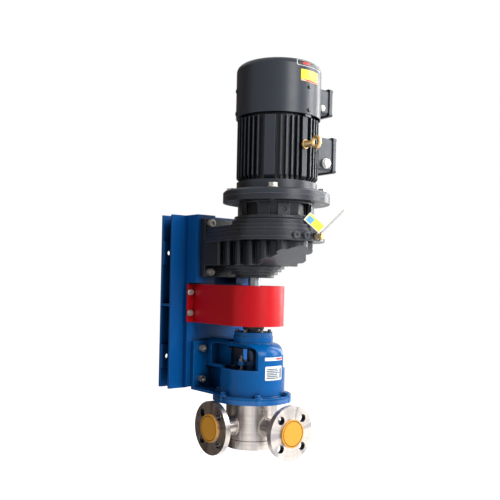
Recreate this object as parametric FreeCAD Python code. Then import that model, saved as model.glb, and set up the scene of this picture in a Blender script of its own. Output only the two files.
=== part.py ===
"""Vertical gear oil transfer pump on a wall frame, with its reducer and motor.

Millimetres. +Z is up, -Y is the front, and the wall plane is y = 0. The origin is the
centre of the four wall anchor holes. All shafts are vertical.
"""
import FreeCAD, Part
import math
import os

V = FreeCAD.Vector
UP = V(0, 0, 1)
DOWN = V(0, 0, -1)
FRONT = V(0, -1, 0)
LEFT = V(-1, 0, 0)
RIGHT = V(1, 0, 0)

# Fits and seats
RUN = 0.05              # radial running clearance of a shaft in a bearing
CLEAR = 0.3             # gap between a moving piece and what it passes
HOLE_SLACK = 0.5        # radial slack of a bolt in its hole

# Shaft axes
SHAFT_REACH = 224.0     # wall to the pump and reducer output axis
MODULE_FIRST = 2.0
FIRST_PINION_TEETH = 15
FIRST_WHEEL_TEETH = 35
MODULE_SECOND = 2.0
SECOND_PINION_TEETH = 14
SECOND_WHEEL_TEETH = 32
MOTOR_OFFSET = 75.0     # output axis to motor axis, towards the front
PRESSURE_ANGLE = math.radians(25)
BACKLASH = 0.3

# Wall frame
CHANNEL_DEPTH = 50.0
CHANNEL_WIDTH = 55.0
CHANNEL_FLANGE = 7.0
CHANNEL_WEB = 6.0
FRAME_HALF_WIDTH = 128.0
FRAME_TOP = 228.0
FRAME_BOTTOM = -210.0
ANCHOR_SPACING_X = 220.0
ANCHOR_SPACING_Z = 264.0
ANCHOR_HOLE_R = 6.75
ANCHOR_PAD_THICK = 5.0
ANCHOR_PAD_HEIGHT = 60.0
ANCHOR_PAD_WIDTH = 34.0
STIFFENER_THICK = 6.0
PLATE_THICK = 16.0
PLATE_HALF_WIDTH = 88.0
PLATE_BOTTOM = -206.0
LEG_DEPTH = 38.0
LEG_WIDTH = 53.0
LEG_SIDE_WALL = 8.0
LEG_FRONT_WALL = 14.0
LEG_BOTTOM = 58.0

# Gear reducer
FOOT_THICK = 20.0
FOOT_HALF_WIDTH = 79.0
FOOT_BOTTOM = 73.5
FOOT_TOP = 217.5
FOOT_BOLT = 12.0
FOOT_BOLT_SPACING_X = 130.0
FOOT_BOLT_LOW = 85.0
FOOT_BOLT_HIGH = 205.6
CASE_BOTTOM = 102.0
CASE_RIM_BOTTOM = 158.0
CASE_JOINT = 177.0
COVER_TOP = 213.0
NOSE_REACH = 172.0
NOSE_START = 16.0       # start of the rounded nose, in front of the output axis
RIB_DEPTH = 15.0
RIB_THICK = 17.0
RIB_PITCH = 39.0
RIB_COUNT = 5
RIB_ROUND = 6.5
RAMP_SLOPE = 0.5
RAMP_START = 8.0        # in front of the motor axis
RIM_R = 115.0
RIM_STEPS = ((0.0, 158.0), (2.5, 166.0), (5.0, 177.0), (7.5, 185.0))
RIM_TOP = 194.0
COVER_SHOULDER_R = 102.0
COVER_TOP_R = 97.0
CASE_WALL = 9.0
PARTITION_BOTTOM = 150.0
OUTPUT_BORE_R = 36.0
OUTPUT_SHAFT_R = 15.0
OUTPUT_UPPER_R = 11.0
OUTPUT_BEARING_R = 31.0
OUTPUT_BEARING_WIDTH = 16.0
CAP_SPIGOT = 8.0
CAP_RINGS = ((72.0, 95.0), (65.0, 88.0), (56.0, 80.5), (47.0, 73.0))
LAY_SHAFT_R = 8.5
LAY_JOURNAL_R = 5.5
LAY_BUSH_R = 8.5
LAY_BEARING_R = 14.0
SECOND_GEAR_BOTTOM = 118.0
SECOND_GEAR_WIDTH = 26.0
FIRST_GEAR_BOTTOM = 164.0
FIRST_GEAR_WIDTH = 18.0
GEAR_ROOM_R = 90.0
GEAR_ROOM_TOP = 203.0

# Screw plugs round the front of the reducer's rim, by angle from the front
FILL_PLUG_ANGLES = (17.5, 5.0)
BREATHER_ANGLE = -11.0
LEVEL_PLUG_ANGLE = -19.0
PLUG_Z = 168.5
PLUG_BOSS_R = 8.4
PLUG_BOSS_RISE = 2.5
PLUG_R = 6.0
PLUG_DEPTH = 9.0

# Hang tag on a nylon tie round the breather
TAG_LENGTH = 46.0
TAG_WIDTH = 26.0
TAG_THICK = 1.0
TAG_FACING = 20.0
TAG_LEAN = 20.0
TAG_TURN = 46.0
TAG_ANGLE = -9.0
TAG_REACH = 113.9
TAG_Z = 198.4
TIE_TAIL = 92.0
TIE_WIDTH = 4.0
TIE_LEAN = -40.0

# Motor adapter
ADAPTER_FLANGE_BOTTOM = 246.0
ADAPTER_FLANGE_TOP = 258.0
ADAPTER_TOP_R = 87.0
ADAPTER_LOW_R = 82.5
ADAPTER_WALL = 11.0
BOSS_PLATE_WIDTH = 28.0
BOSS_PLATE_HEIGHT = 29.0
BOSS_PLATE_ANGLES = (29.0, 58.0)
RECESS_ANGLE = -8.0
RECESS_WIDTH = 34.0
RECESS_FLOOR_R = 75.5

# Motor
MOTOR_FLANGE_R = 125.0
MOTOR_FLANGE_TOP = 272.0
MOTOR_FLANGE_BEVEL = 4.0
MOTOR_FLANGE_PCD = 215.0
MOTOR_FLANGE_BOLT = 12.0
MOTOR_SHAFT_R = 14.0
BELL_TOP = 293.0
BELL_R = 94.0
FIN_TIP_R = 95.5
FIN_ROOT_R = 84.0
FIN_THICK = 3.2
FIN_PITCH_DEG = 8.0
STATOR_R = 78.0
STATOR_BORE_R = 48.0
ROTOR_R = 47.5
CORE_BOTTOM = 318.0
CORE_TOP = 404.0
WINDING_OVERHANG = 16.0
FRAME_TOP_END = 436.0
REAR_SHIELD_THICK = 12.0
MOTOR_BEARING_R = 31.0
MOTOR_BEARING_WIDTH = 16.0
COWL_R = 99.0
COWL_WALL = 2.0
COWL_OVERLAP = 6.0
COWL_TOP = 565.0
COWL_ROUND = 16.0
COWL_SCREW_RISE = (15.0, 67.0)
COWL_SCREW_ANGLES = (-4.0, 116.0, 236.0)
FAN_R = 84.0
FAN_RISE = 38.0
FAN_HEIGHT = 26.0
FAN_HUB_R = 26.0
FAN_BLADES = 7
FAN_MOTOR_R = 36.0
FAN_MOTOR_RISE = 76.0
FAN_SHAFT_R = 5.0
EYEBOLT_Z = 374.0
EYEBOLT_R = 4.0
EYEBOLT_DEPTH = 8.0
EYE_CENTRE_R = 131.0    # eye centre from the motor axis
EYE_RING_R = 11.5
EYE_WIRE_R = 4.2

# Terminal boxes: half width, bottom, top, outer face of the body, lid thickness
MAIN_BOX = (42.0, 333.0, 413.0, 139.0, 9.0)
FAN_BOX = (28.0, 472.0, 533.0, 137.0, 9.0)
LID_LIP = 3.0
MAIN_ENTRY_R = 12.0
FAN_ENTRY_R = 7.5
ENTRY_FROM_LID = 23.0

# Coupling and guard
COUPLING_R = 50.0
COUPLING_HUB_R = 26.0
COUPLING_FLANGE = 16.0
COUPLING_GAP = 4.0
COUPLING_MIDDLE = 4.0   # height of the gap's centre
COUPLING_HUB_LENGTH = 26.0
LOWER_HUB_LENGTH = 37.0
PIN_CIRCLE_R = 38.0
PIN_R = 5.0
BUSH_R = 9.0
PIN_COUNT = 6
GUARD_R = 73.0
GUARD_SHEET = 2.5
GUARD_TAB = 18.0
GUARD_BOTTOM = -42.0
GUARD_TOP = 54.0
GUARD_SCREW = 8.0
GUARD_SCREW_X = 82.0
GUARD_SCREW_Z = (-19.0, 33.0)

# Pump bracket
BRACKET_TOP = -67.0
BRACKET_NECK_R = 48.0
BRACKET_NECK_END = -83.0
BRACKET_R = 78.5
BRACKET_WALL = 9.0
BRACKET_FLANGE_TOP = -203.0
BRACKET_FLANGE_BOTTOM = -212.0
BRACKET_FLANGE_R = 95.0
EAR_R = 10.5
EAR_CIRCLE_R = 86.5
EAR_RISE = 3.0
FLANGE_BOLT = 8.0
FLANGE_BOLT_COUNT = 6
WINDOW_TOP = -83.0
WINDOW_BOTTOM = -144.0
WINDOW_JAMB_X = 38.0
WINDOW_ROUND = 20.0
WINDOW_BACK = 120.0    # pump axis to the back of the side recess
RECESS_WALL_HALF = 14.0
BRACKET_FOOT_THICK = 14.0
BRACKET_FOOT_HALF_WIDTH = 75.0
BRACKET_FOOT_TOP = -89.5
BRACKET_FOOT_BOTTOM = -205.5
BRACKET_FOOT_BOLT = 12.0
BRACKET_BOLT_SPACING_X = 106.0
BRACKET_BOLT_Z = (-185.2, -107.7)
BRACKET_HOOD_HALF_WIDTH = 38.0
BRACKET_WEB_HALF_WIDTH = 20.0
HOUSING_R = 41.0
HOUSING_BOTTOM = -97.0
PUMP_BEARING_R = 31.0
PUMP_BEARING_WIDTH = 12.0
COVER_RING_R = 46.5
COVER_RING_TOP = -57.5
COVER_SCREW = 6.0
COVER_SCREW_CIRCLE_R = 39.0

# Pump
PUMP_SHAFT_R = 14.0
PUMP_FLANGE_BOTTOM = -222.0
PUMP_BODY_R = 62.0
PUMP_BODY_STEP = -256.0
PUMP_LOWER_R = 60.0
PUMP_BODY_BOTTOM = -312.0
PUMP_BOTTOM = -333.0
BOX_TOP = -150.0
BOX_R = 34.0
PACKING_R = 24.0
PACKING_BOTTOM = -196.0
PACKING_TOP = -164.0
GLAND_FLANGE_TOP = -128.0
GLAND_FLANGE_THICK = 9.0
GLAND_STUD = 8.0
GLAND_STUD_X = 34.0
SPIGOT_R = 66.0
ROTOR_OUTER_R = 45.0
ROTOR_TOP = -264.0
ROTOR_DISC = 12.0
PUMP_MODULE = 5.0
ROTOR_TEETH = 14
IDLER_TEETH = 9
PUMP_PRESSURE_ANGLE = math.radians(30)
PUMP_ADDENDUM = 0.8
PUMP_DEDENDUM = 1.0
PUMP_BACKLASH = 0.5
IDLER_PIN_R = 9.0
CRESCENT_END = 4.0      # how far the crescent's horns reach past the pump axis towards the idler
PORT_Z = -278.5
PORT_FLANGE_R = 62.5
PORT_FLANGE_THICK = 14.0
PORT_FACE_R = 33.5
PORT_FACE_RISE = 1.0
PORT_PCD = 90.0
PORT_HOLE_R = 9.5
PORT_NECK_R = 23.0
PORT_BORE_R = 12.5
LEFT_PORT_REACH = 123.7
FRONT_PORT_REACH = 148.2
CAP_R = 32.3
CAP_THICK = 3.5
CAP_PLUG_LENGTH = 12.0
GAUGE_PLUG_ANGLE = 12.0
GAUGE_PLUG_Z = -243.0
GAUGE_PLUG_R = 8.0
END_BOLT = 8.0
END_BOLT_CIRCLE_R = 51.0

REAR_SHIELD_TOP = FRAME_TOP_END + REAR_SHIELD_THICK
COWL_BOTTOM = FRAME_TOP_END + COWL_OVERLAP
FAN_BOTTOM = FRAME_TOP_END + FAN_RISE
FAN_MOTOR_BOTTOM = FRAME_TOP_END + FAN_MOTOR_RISE
PUMP_Y = -SHAFT_REACH
MOTOR_Y = PUMP_Y - MOTOR_OFFSET
PLATE_BACK = -CHANNEL_DEPTH
PLATE_FRONT = PLATE_BACK - PLATE_THICK
LEG_FRONT = PLATE_FRONT - LEG_DEPTH
FOOT_FRONT = LEG_FRONT - FOOT_THICK
BRACKET_FOOT_FRONT = PLATE_FRONT - BRACKET_FOOT_THICK
FIRST_CENTRES = MODULE_FIRST * (FIRST_PINION_TEETH + FIRST_WHEEL_TEETH) / 2
SECOND_CENTRES = MODULE_SECOND * (SECOND_PINION_TEETH + SECOND_WHEEL_TEETH) / 2
LAY_FORWARD = (MOTOR_OFFSET**2 + SECOND_CENTRES**2 - FIRST_CENTRES**2) / (2 * MOTOR_OFFSET)
LAY_X = math.sqrt(SECOND_CENTRES**2 - LAY_FORWARD**2)
LAY_Y = PUMP_Y - LAY_FORWARD
ECCENTRICITY = PUMP_MODULE * (ROTOR_TEETH - IDLER_TEETH) / 2
IDLER_DIRECTION = math.radians(225)
IDLER_X = ECCENTRICITY * math.cos(IDLER_DIRECTION)
IDLER_Y = PUMP_Y + ECCENTRICITY * math.sin(IDLER_DIRECTION)


def box(x0, x1, y0, y1, z0, z1):
    low = V(min(x0, x1), min(y0, y1), min(z0, z1))
    return Part.makeBox(abs(x1 - x0), abs(y1 - y0), abs(z1 - z0), low)


def rod(radius, start, end):
    """A cylinder between two points."""
    return Part.makeCylinder(radius, (end - start).Length, start, end - start)


def post(radius, z0, z1, x, y):
    return Part.makeCylinder(radius, z1 - z0, V(x, y, z0), UP)


def ring(outer, inner, z0, z1, x, y):
    return post(outer, z0, z1, x, y).cut(post(inner, z0 - 1, z1 + 1, x, y))


def turned(profile, x, y):
    """A solid turned about a vertical axis from (radius, height) points."""
    points = [V(x + r, y, z) for r, z in profile]
    face = Part.Face(Part.makePolygon(points + points[:1]))
    return face.revolve(V(x, y, 0), UP, 360)


def prism(points, z0, z1):
    """A vertical prism from (x, y) points."""
    corners = [V(x, y, z0) for x, y in points]
    return Part.Face(Part.makePolygon(corners + corners[:1])).extrude(V(0, 0, z1 - z0))


def fuse(shapes):
    return shapes[0].multiFuse(shapes[1:]).removeSplitter() if len(shapes) > 1 else shapes[0]


def cut(shape, tools):
    return shape.cut(tools).removeSplitter()


def polar(radius, degrees, x, y):
    """A point round a vertical axis. 0 degrees is the front, and 90 is the left."""
    angle = math.radians(degrees)
    return x - radius * math.sin(angle), y - radius * math.cos(angle)


def circle_points(count, radius, start, x, y):
    return [polar(radius, start + 360 * i / count, x, y) for i in range(count)]


def outward(degrees):
    angle = math.radians(degrees)
    return V(-math.sin(angle), -math.cos(angle), 0)


def aimed(shape, seat, direction):
    """Turn a piece made along +Z so that it points along direction from its seat."""
    moved = shape.copy()
    rotation = FreeCAD.Rotation(UP, direction)
    moved.Placement = FreeCAD.Placement(seat, rotation).multiply(shape.Placement)
    return moved


def hexagon(across, z0, z1):
    radius = across / math.sqrt(3)
    corners = [(radius * math.cos(math.radians(60 * i)), radius * math.sin(math.radians(60 * i)))
               for i in range(6)]
    return prism(corners, z0, z1)


def hex_bolt(size, length, washer=0.0):
    """A hexagon bolt, its seat at the origin, its head along +Z and its shank along -Z."""
    head = hexagon(1.55 * size, washer, washer + 0.65 * size)
    shank = post(size / 2, -length, washer + 1, 0, 0)
    pieces = [head, shank]
    if washer:
        pieces.append(post(size, 0, washer, 0, 0))
    return fuse(pieces)


def socket_screw(size, length):
    """A socket head screw, its seat at the origin and its head along +Z."""
    head = post(0.75 * size, 0, size, 0, 0).cut(hexagon(0.8 * size, 0.5 * size, size + 1))
    return head.fuse(post(size / 2, -length, 1, 0, 0)).removeSplitter()


def stud_and_nut(size, low, high, nut_seat):
    """A vertical stud on the Z axis with a nut above its seat."""
    return post(size / 2, low, high, 0, 0).fuse(hexagon(1.6 * size, nut_seat, nut_seat + 0.8 * size))


def shaft_holes(size, places, direction, length):
    """Bolt holes through a piece, from each place along direction."""
    return [rod(size / 2 + HOLE_SLACK, p - direction, p + direction * length) for p in places]


def involute(angle):
    return math.tan(angle) - angle


def tooth_half_angle(radius, module, teeth, pressure, backlash):
    """Half the angle of an external involute tooth at a radius, less half the backlash."""
    pitch_r = module * teeth / 2
    base_r = pitch_r * math.cos(pressure)
    at_radius = math.acos(min(1.0, base_r / max(radius, base_r)))
    return math.pi / (2 * teeth) + involute(pressure) - involute(at_radius) - backlash / (2 * pitch_r)


def spur_gear(module, teeth, pressure, centre, tooth_angle, z0, z1, bore,
              addendum=1.0, dedendum=1.25, backlash=BACKLASH, steps=2):
    """A spur gear with one tooth centred on tooth_angle."""
    pitch_r = module * teeth / 2
    root_r = pitch_r - dedendum * module
    tip_r = pitch_r + addendum * module
    base_r = pitch_r * math.cos(pressure)
    flank_start = max(root_r, base_r)
    radii = [flank_start + (tip_r - flank_start) * i / steps for i in range(steps + 1)]
    if root_r < base_r:
        radii = [root_r] + radii
    points = []
    for tooth in range(teeth):
        middle = tooth_angle + 2 * math.pi * tooth / teeth
        halves = [tooth_half_angle(r, module, teeth, pressure, backlash) for r in radii]
        rising = [(r, middle - h) for r, h in zip(radii, halves)]
        falling = [(r, middle + h) for r, h in zip(reversed(radii), reversed(halves))]
        points += [(centre[0] + r * math.cos(a), centre[1] + r * math.sin(a)) for r, a in rising + falling]
    blank = prism(points, z0, z1)
    return blank.cut(post(bore, z0 - 1, z1 + 1, *centre)) if bore else blank


def meshed_tooth(driver_teeth, driver_angle, line_angle, driven_teeth):
    """The tooth angle of an external gear that meshes with its driver."""
    ahead = driver_angle - line_angle
    return line_angle + math.pi - ahead * driver_teeth / driven_teeth + math.pi / driven_teeth


def egg_outline(half_width, back_y, nose_r, nose_y, z):
    """Two corners at the back, joined by tangents to a round nose."""
    corner = V(half_width, back_y, z)
    reach = math.hypot(half_width, back_y - nose_y)
    lean = math.atan2(half_width, back_y - nose_y) + math.acos(min(1.0, nose_r / reach))
    tangent = V(nose_r * math.sin(lean), nose_y + nose_r * math.cos(lean), z)
    mirror = V(-tangent.x, tangent.y, z)
    left_corner = V(-half_width, back_y, z)
    nose = Part.Arc(tangent, V(0, nose_y - nose_r, z), mirror).toShape()
    edges = [Part.makeLine(left_corner, corner), Part.makeLine(corner, tangent), nose,
             Part.makeLine(mirror, left_corner)]
    return Part.Wire(edges)


def nose_body(inset, z0, z1):
    """The straight sided, round nosed lower body of the reducer, drawn in by inset."""
    half = FOOT_HALF_WIDTH - inset
    start = PUMP_Y - NOSE_START
    reach = NOSE_REACH - inset
    ellipse = Part.Ellipse(V(0, start - reach, z0), V(half, start, z0), V(0, start, z0))
    nose = Part.Arc(ellipse, math.pi / 2, 3 * math.pi / 2).toShape()
    ends = [nose.Vertexes[0].Point, nose.Vertexes[-1].Point]
    if nose.CenterOfMass.y > start:
        nose = Part.Arc(ellipse, -math.pi / 2, math.pi / 2).toShape()
        ends = [nose.Vertexes[0].Point, nose.Vertexes[-1].Point]
    back = FOOT_FRONT + 1
    first = V(ends[0].x, back, z0)
    last = V(ends[1].x, back, z0)
    edges = [nose, Part.makeLine(ends[1], last), Part.makeLine(last, first), Part.makeLine(first, ends[0])]
    return Part.Face(Part.Wire(edges)).extrude(V(0, 0, z1 - z0))


def frame_channel(side):
    """A channel that stands open to the side, with its anchor pads and middle stiffener."""
    outer = side * FRAME_HALF_WIDTH
    inner = outer - side * CHANNEL_WIDTH
    web_face = inner + side * CHANNEL_WEB
    back_flange = -CHANNEL_FLANGE
    front_flange = -CHANNEL_DEPTH + CHANNEL_FLANGE
    profile = [(inner, 0), (outer, 0), (outer, back_flange), (web_face, back_flange),
               (web_face, front_flange), (outer, front_flange), (outer, -CHANNEL_DEPTH),
               (inner, -CHANNEL_DEPTH)]
    pieces = [prism(profile, FRAME_BOTTOM, FRAME_TOP)]
    pieces.append(box(web_face, outer - side, back_flange, front_flange,
                      -STIFFENER_THICK / 2, STIFFENER_THICK / 2))
    anchor_x = side * ANCHOR_SPACING_X / 2
    holes = []
    for anchor_z in (-ANCHOR_SPACING_Z / 2, ANCHOR_SPACING_Z / 2):
        pieces.append(box(anchor_x - ANCHOR_PAD_WIDTH / 2, anchor_x + ANCHOR_PAD_WIDTH / 2,
                          back_flange, back_flange - ANCHOR_PAD_THICK,
                          anchor_z - ANCHOR_PAD_HEIGHT / 2, anchor_z + ANCHOR_PAD_HEIGHT / 2))
        holes.append(rod(ANCHOR_HOLE_R, V(anchor_x, 1, anchor_z), V(anchor_x, -CHANNEL_DEPTH / 2, anchor_z)))
    return cut(fuse(pieces), holes)


def bracket_foot_places(y):
    x = BRACKET_BOLT_SPACING_X / 2
    return [V(s * x, y, z) for s in (-1, 1) for z in BRACKET_BOLT_Z]


def guard_screw_places(y):
    return [V(s * GUARD_SCREW_X, y, z) for s in (-1, 1) for z in GUARD_SCREW_Z]


def gearbox_foot_places(y):
    x = FOOT_BOLT_SPACING_X / 2
    return [V(s * x, y, z) for s in (-1, 1) for z in (FOOT_BOLT_LOW, FOOT_BOLT_HIGH)]


def tapped(size, places, y_back, length):
    """Blind tapped holes that a screw fills, from each place towards the wall."""
    return [rod(size / 2, V(p.x, y_back - 1, p.z), V(p.x, y_back + length, p.z)) for p in places]


def mounting_plate():
    plate = box(-PLATE_HALF_WIDTH, PLATE_HALF_WIDTH, PLATE_FRONT, PLATE_BACK, PLATE_BOTTOM, FRAME_TOP)
    holes = tapped(BRACKET_FOOT_BOLT, bracket_foot_places(0), PLATE_FRONT, PLATE_THICK - 2)
    holes += tapped(GUARD_SCREW, guard_screw_places(0), PLATE_FRONT, PLATE_THICK - 4)
    return cut(plate, holes)


def pedestal_leg(side):
    """A box-like upright, open towards the middle, that the reducer's foot is bolted to."""
    outer = side * PLATE_HALF_WIDTH
    inner = outer - side * LEG_WIDTH
    shell = box(inner, outer, LEG_FRONT, PLATE_FRONT, LEG_BOTTOM, FRAME_TOP)
    room = box(inner - side, outer - side * LEG_SIDE_WALL, LEG_FRONT + LEG_FRONT_WALL, PLATE_FRONT + 1,
               LEG_BOTTOM + LEG_SIDE_WALL, FRAME_TOP + 1)
    places = [p for p in gearbox_foot_places(0) if p.x * side > 0]
    return cut(shell, [room] + tapped(FOOT_BOLT, places, LEG_FRONT, LEG_FRONT_WALL + 4))


def rim_levels(z0, z1, back_y):
    """The egg shaped levels of the reducer's rim between two heights, each drawn in from the one below."""
    levels = []
    tops = [z for inset, z in RIM_STEPS[1:]] + [RIM_TOP]
    for (inset, low), high in zip(RIM_STEPS, tops):
        if z0 <= low < z1:
            wire = egg_outline(FOOT_HALF_WIDTH - inset / 2, back_y, RIM_R - inset, MOTOR_Y, low)
            levels.append(Part.Face(wire).extrude(V(0, 0, high - low)))
    return levels


def rounded_rib(rib):
    """Round the upright outer edges of a rib."""
    front = min(v.Y for v in rib.Vertexes)
    back = max(v.Y for v in rib.Vertexes)
    upright = [e for e in rib.Edges if abs(e.Vertexes[0].Z - e.Vertexes[-1].Z) > 1 and len(e.Vertexes) == 2
               and e.CenterOfMass.y < FOOT_FRONT - 1 and abs(e.CenterOfMass.x) > 30]
    return rib.makeFillet(min(RIB_ROUND, (back - front) / 2 - 0.5), upright) if upright else rib


def gearbox_case():
    foot = box(-FOOT_HALF_WIDTH, FOOT_HALF_WIDTH, FOOT_FRONT, LEG_FRONT, FOOT_BOTTOM, FOOT_TOP)
    core = nose_body(RIB_DEPTH, CASE_BOTTOM, CASE_RIM_BOTTOM)
    outline = nose_body(0, CASE_BOTTOM, CASE_RIM_BOTTOM)
    first_rib = PUMP_Y + RIB_PITCH / 2
    slabs = [box(-FOOT_HALF_WIDTH, FOOT_HALF_WIDTH, first_rib - i * RIB_PITCH - RIB_THICK,
                 first_rib - i * RIB_PITCH, CASE_BOTTOM, CASE_RIM_BOTTOM) for i in range(RIB_COUNT)]
    slabs.append(box(-FOOT_HALF_WIDTH, FOOT_HALF_WIDTH, first_rib + RIB_PITCH - RIB_THICK, FOOT_FRONT,
                     CASE_BOTTOM, CASE_RIM_BOTTOM))
    ribs = [rounded_rib(rib) for rib in outline.common(Part.makeCompound(slabs)).Solids]
    rim = rim_levels(RIM_STEPS[0][1], CASE_JOINT, FOOT_FRONT + 1)
    ramp_y = MOTOR_Y - RAMP_START
    far = FOOT_HALF_WIDTH * 3
    drop = CASE_RIM_BOTTOM - CASE_BOTTOM
    wedge = Part.makePolygon([V(-far, ramp_y, CASE_BOTTOM - 1), V(-far, ramp_y, CASE_BOTTOM),
                              V(-far, ramp_y - drop / RAMP_SLOPE, CASE_RIM_BOTTOM),
                              V(-far, ramp_y - 2 * drop / RAMP_SLOPE, CASE_BOTTOM - 1),
                              V(-far, ramp_y, CASE_BOTTOM - 1)])
    ramp = Part.Face(wedge).extrude(V(2 * far, 0, 0))
    body = fuse([foot, core] + ribs + rim + plug_bosses()).cut(ramp)
    room = [post(OUTPUT_BORE_R, CASE_BOTTOM - 1, PARTITION_BOTTOM, 0, PUMP_Y),
            post(SECOND_PINION_TEETH + 6, CASE_BOTTOM + CASE_WALL, PARTITION_BOTTOM, LAY_X, LAY_Y),
            post(GEAR_ROOM_R, CASE_RIM_BOTTOM, CASE_JOINT + 1, 0, MOTOR_Y),
            post(LAY_BEARING_R, PARTITION_BOTTOM - 1, CASE_RIM_BOTTOM + 1, LAY_X, LAY_Y),
            post(OUTPUT_UPPER_R + 8, PARTITION_BOTTOM - 1, CASE_RIM_BOTTOM, 0, PUMP_Y),
            post(LAY_BUSH_R, CASE_BOTTOM + 2, CASE_BOTTOM + CASE_WALL + 1, LAY_X, LAY_Y)]
    holes = shaft_holes(FOOT_BOLT, gearbox_foot_places(FOOT_FRONT), -FRONT, FOOT_THICK + 1)
    return cut(body, room + holes + plug_holes())


def gearbox_cover():
    """The upper half of the reducer: stepped walls, a round shoulder and the seat of the motor adapter."""
    walls = rim_levels(CASE_JOINT, COVER_TOP, FOOT_FRONT - CLEAR)
    shoulder = turned([(0, CASE_JOINT), (COVER_SHOULDER_R, CASE_JOINT), (COVER_SHOULDER_R, COVER_TOP - 9),
                       (COVER_TOP_R, COVER_TOP - 4), (COVER_TOP_R, COVER_TOP), (0, COVER_TOP)], 0, MOTOR_Y)
    room = [post(GEAR_ROOM_R, CASE_JOINT - 1, GEAR_ROOM_TOP, 0, MOTOR_Y),
            post(MOTOR_SHAFT_R + 10, GEAR_ROOM_TOP - 1, COVER_TOP + 1, 0, MOTOR_Y)]
    pillar = post(LAY_BEARING_R + 6, FIRST_GEAR_BOTTOM + FIRST_GEAR_WIDTH + 3, GEAR_ROOM_TOP + 1, LAY_X, LAY_Y)
    pocket = post(LAY_BEARING_R, FIRST_GEAR_BOTTOM + FIRST_GEAR_WIDTH + 2, GEAR_ROOM_TOP - 4, LAY_X, LAY_Y)
    return cut(cut(fuse(walls + [shoulder]), room).fuse(pillar), [pocket])


def output_bearing_cap():
    """Stepped rings below the case, each smaller and lower than the one before."""
    steps = [post(radius, bottom, CASE_BOTTOM, 0, PUMP_Y) for radius, bottom in CAP_RINGS]
    spigot = post(OUTPUT_BORE_R, CASE_BOTTOM - 1, CASE_BOTTOM + CAP_SPIGOT, 0, PUMP_Y)
    top = CASE_BOTTOM + CAP_SPIGOT
    tools = [post(OUTPUT_BEARING_R, top - OUTPUT_BEARING_WIDTH, top + 1, 0, PUMP_Y),
             post(OUTPUT_SHAFT_R + 1, CAP_RINGS[-1][1] - 1, top + 1, 0, PUMP_Y)]
    return cut(fuse(steps + [spigot]), tools)


def gearbox_bearings():
    low_top = CASE_BOTTOM + CAP_SPIGOT
    low = ring(OUTPUT_BEARING_R, OUTPUT_SHAFT_R + RUN, low_top - OUTPUT_BEARING_WIDTH, low_top, 0, PUMP_Y)
    high = ring(OUTPUT_UPPER_R + 8, OUTPUT_UPPER_R + RUN, PARTITION_BOTTOM, CASE_RIM_BOTTOM, 0, PUMP_Y)
    lay_low = ring(LAY_BUSH_R, LAY_JOURNAL_R + RUN, CASE_BOTTOM + 2, CASE_BOTTOM + CASE_WALL, LAY_X, LAY_Y)
    lay_mid = ring(LAY_BEARING_R, LAY_SHAFT_R + RUN, PARTITION_BOTTOM, CASE_RIM_BOTTOM, LAY_X, LAY_Y)
    top = FIRST_GEAR_BOTTOM + FIRST_GEAR_WIDTH + 4
    lay_high = ring(LAY_BEARING_R, LAY_SHAFT_R + RUN, top, GEAR_ROOM_TOP - 4, LAY_X, LAY_Y)
    return Part.makeCompound([low, high, lay_low, lay_mid, lay_high])


def rim_seat(angle):
    x, y = polar(RIM_R + PLUG_BOSS_RISE, angle, 0, MOTOR_Y)
    return V(x, y, PLUG_Z)


def plug_angles():
    return FILL_PLUG_ANGLES + (BREATHER_ANGLE, LEVEL_PLUG_ANGLE)


def plug_bosses():
    return [rod(PLUG_BOSS_R, rim_seat(a), rim_seat(a) - outward(a) * 12) for a in plug_angles()]


def plug_holes():
    return [rod(PLUG_R, rim_seat(a) + outward(a) * 5, rim_seat(a) - outward(a) * PLUG_DEPTH)
            for a in plug_angles()]


def gearbox_plugs():
    plug = post(PLUG_R, -PLUG_DEPTH, 1, 0, 0).fuse(post(PLUG_R + 1.6, 0, 3, 0, 0))
    plug = plug.cut(hexagon(7, 1, 5)).removeSplitter()
    return Part.makeCompound([aimed(plug, rim_seat(a), outward(a)) for a in FILL_PLUG_ANGLES])


def breather_plugs():
    """The breather, and the level plug beside it."""
    stem = post(PLUG_R, -PLUG_DEPTH, 3, 0, 0)
    breather = fuse([stem, hexagon(14, 0, 4.3), post(4, 4, 12, 0, 0), post(6.5, 11, 17, 0, 0)])
    level = fuse([stem, hexagon(12, 0, 5)])
    return Part.makeCompound([aimed(breather, rim_seat(BREATHER_ANGLE), outward(BREATHER_ANGLE)),
                              aimed(level, rim_seat(LEVEL_PLUG_ANGLE), outward(LEVEL_PLUG_ANGLE))])


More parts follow.
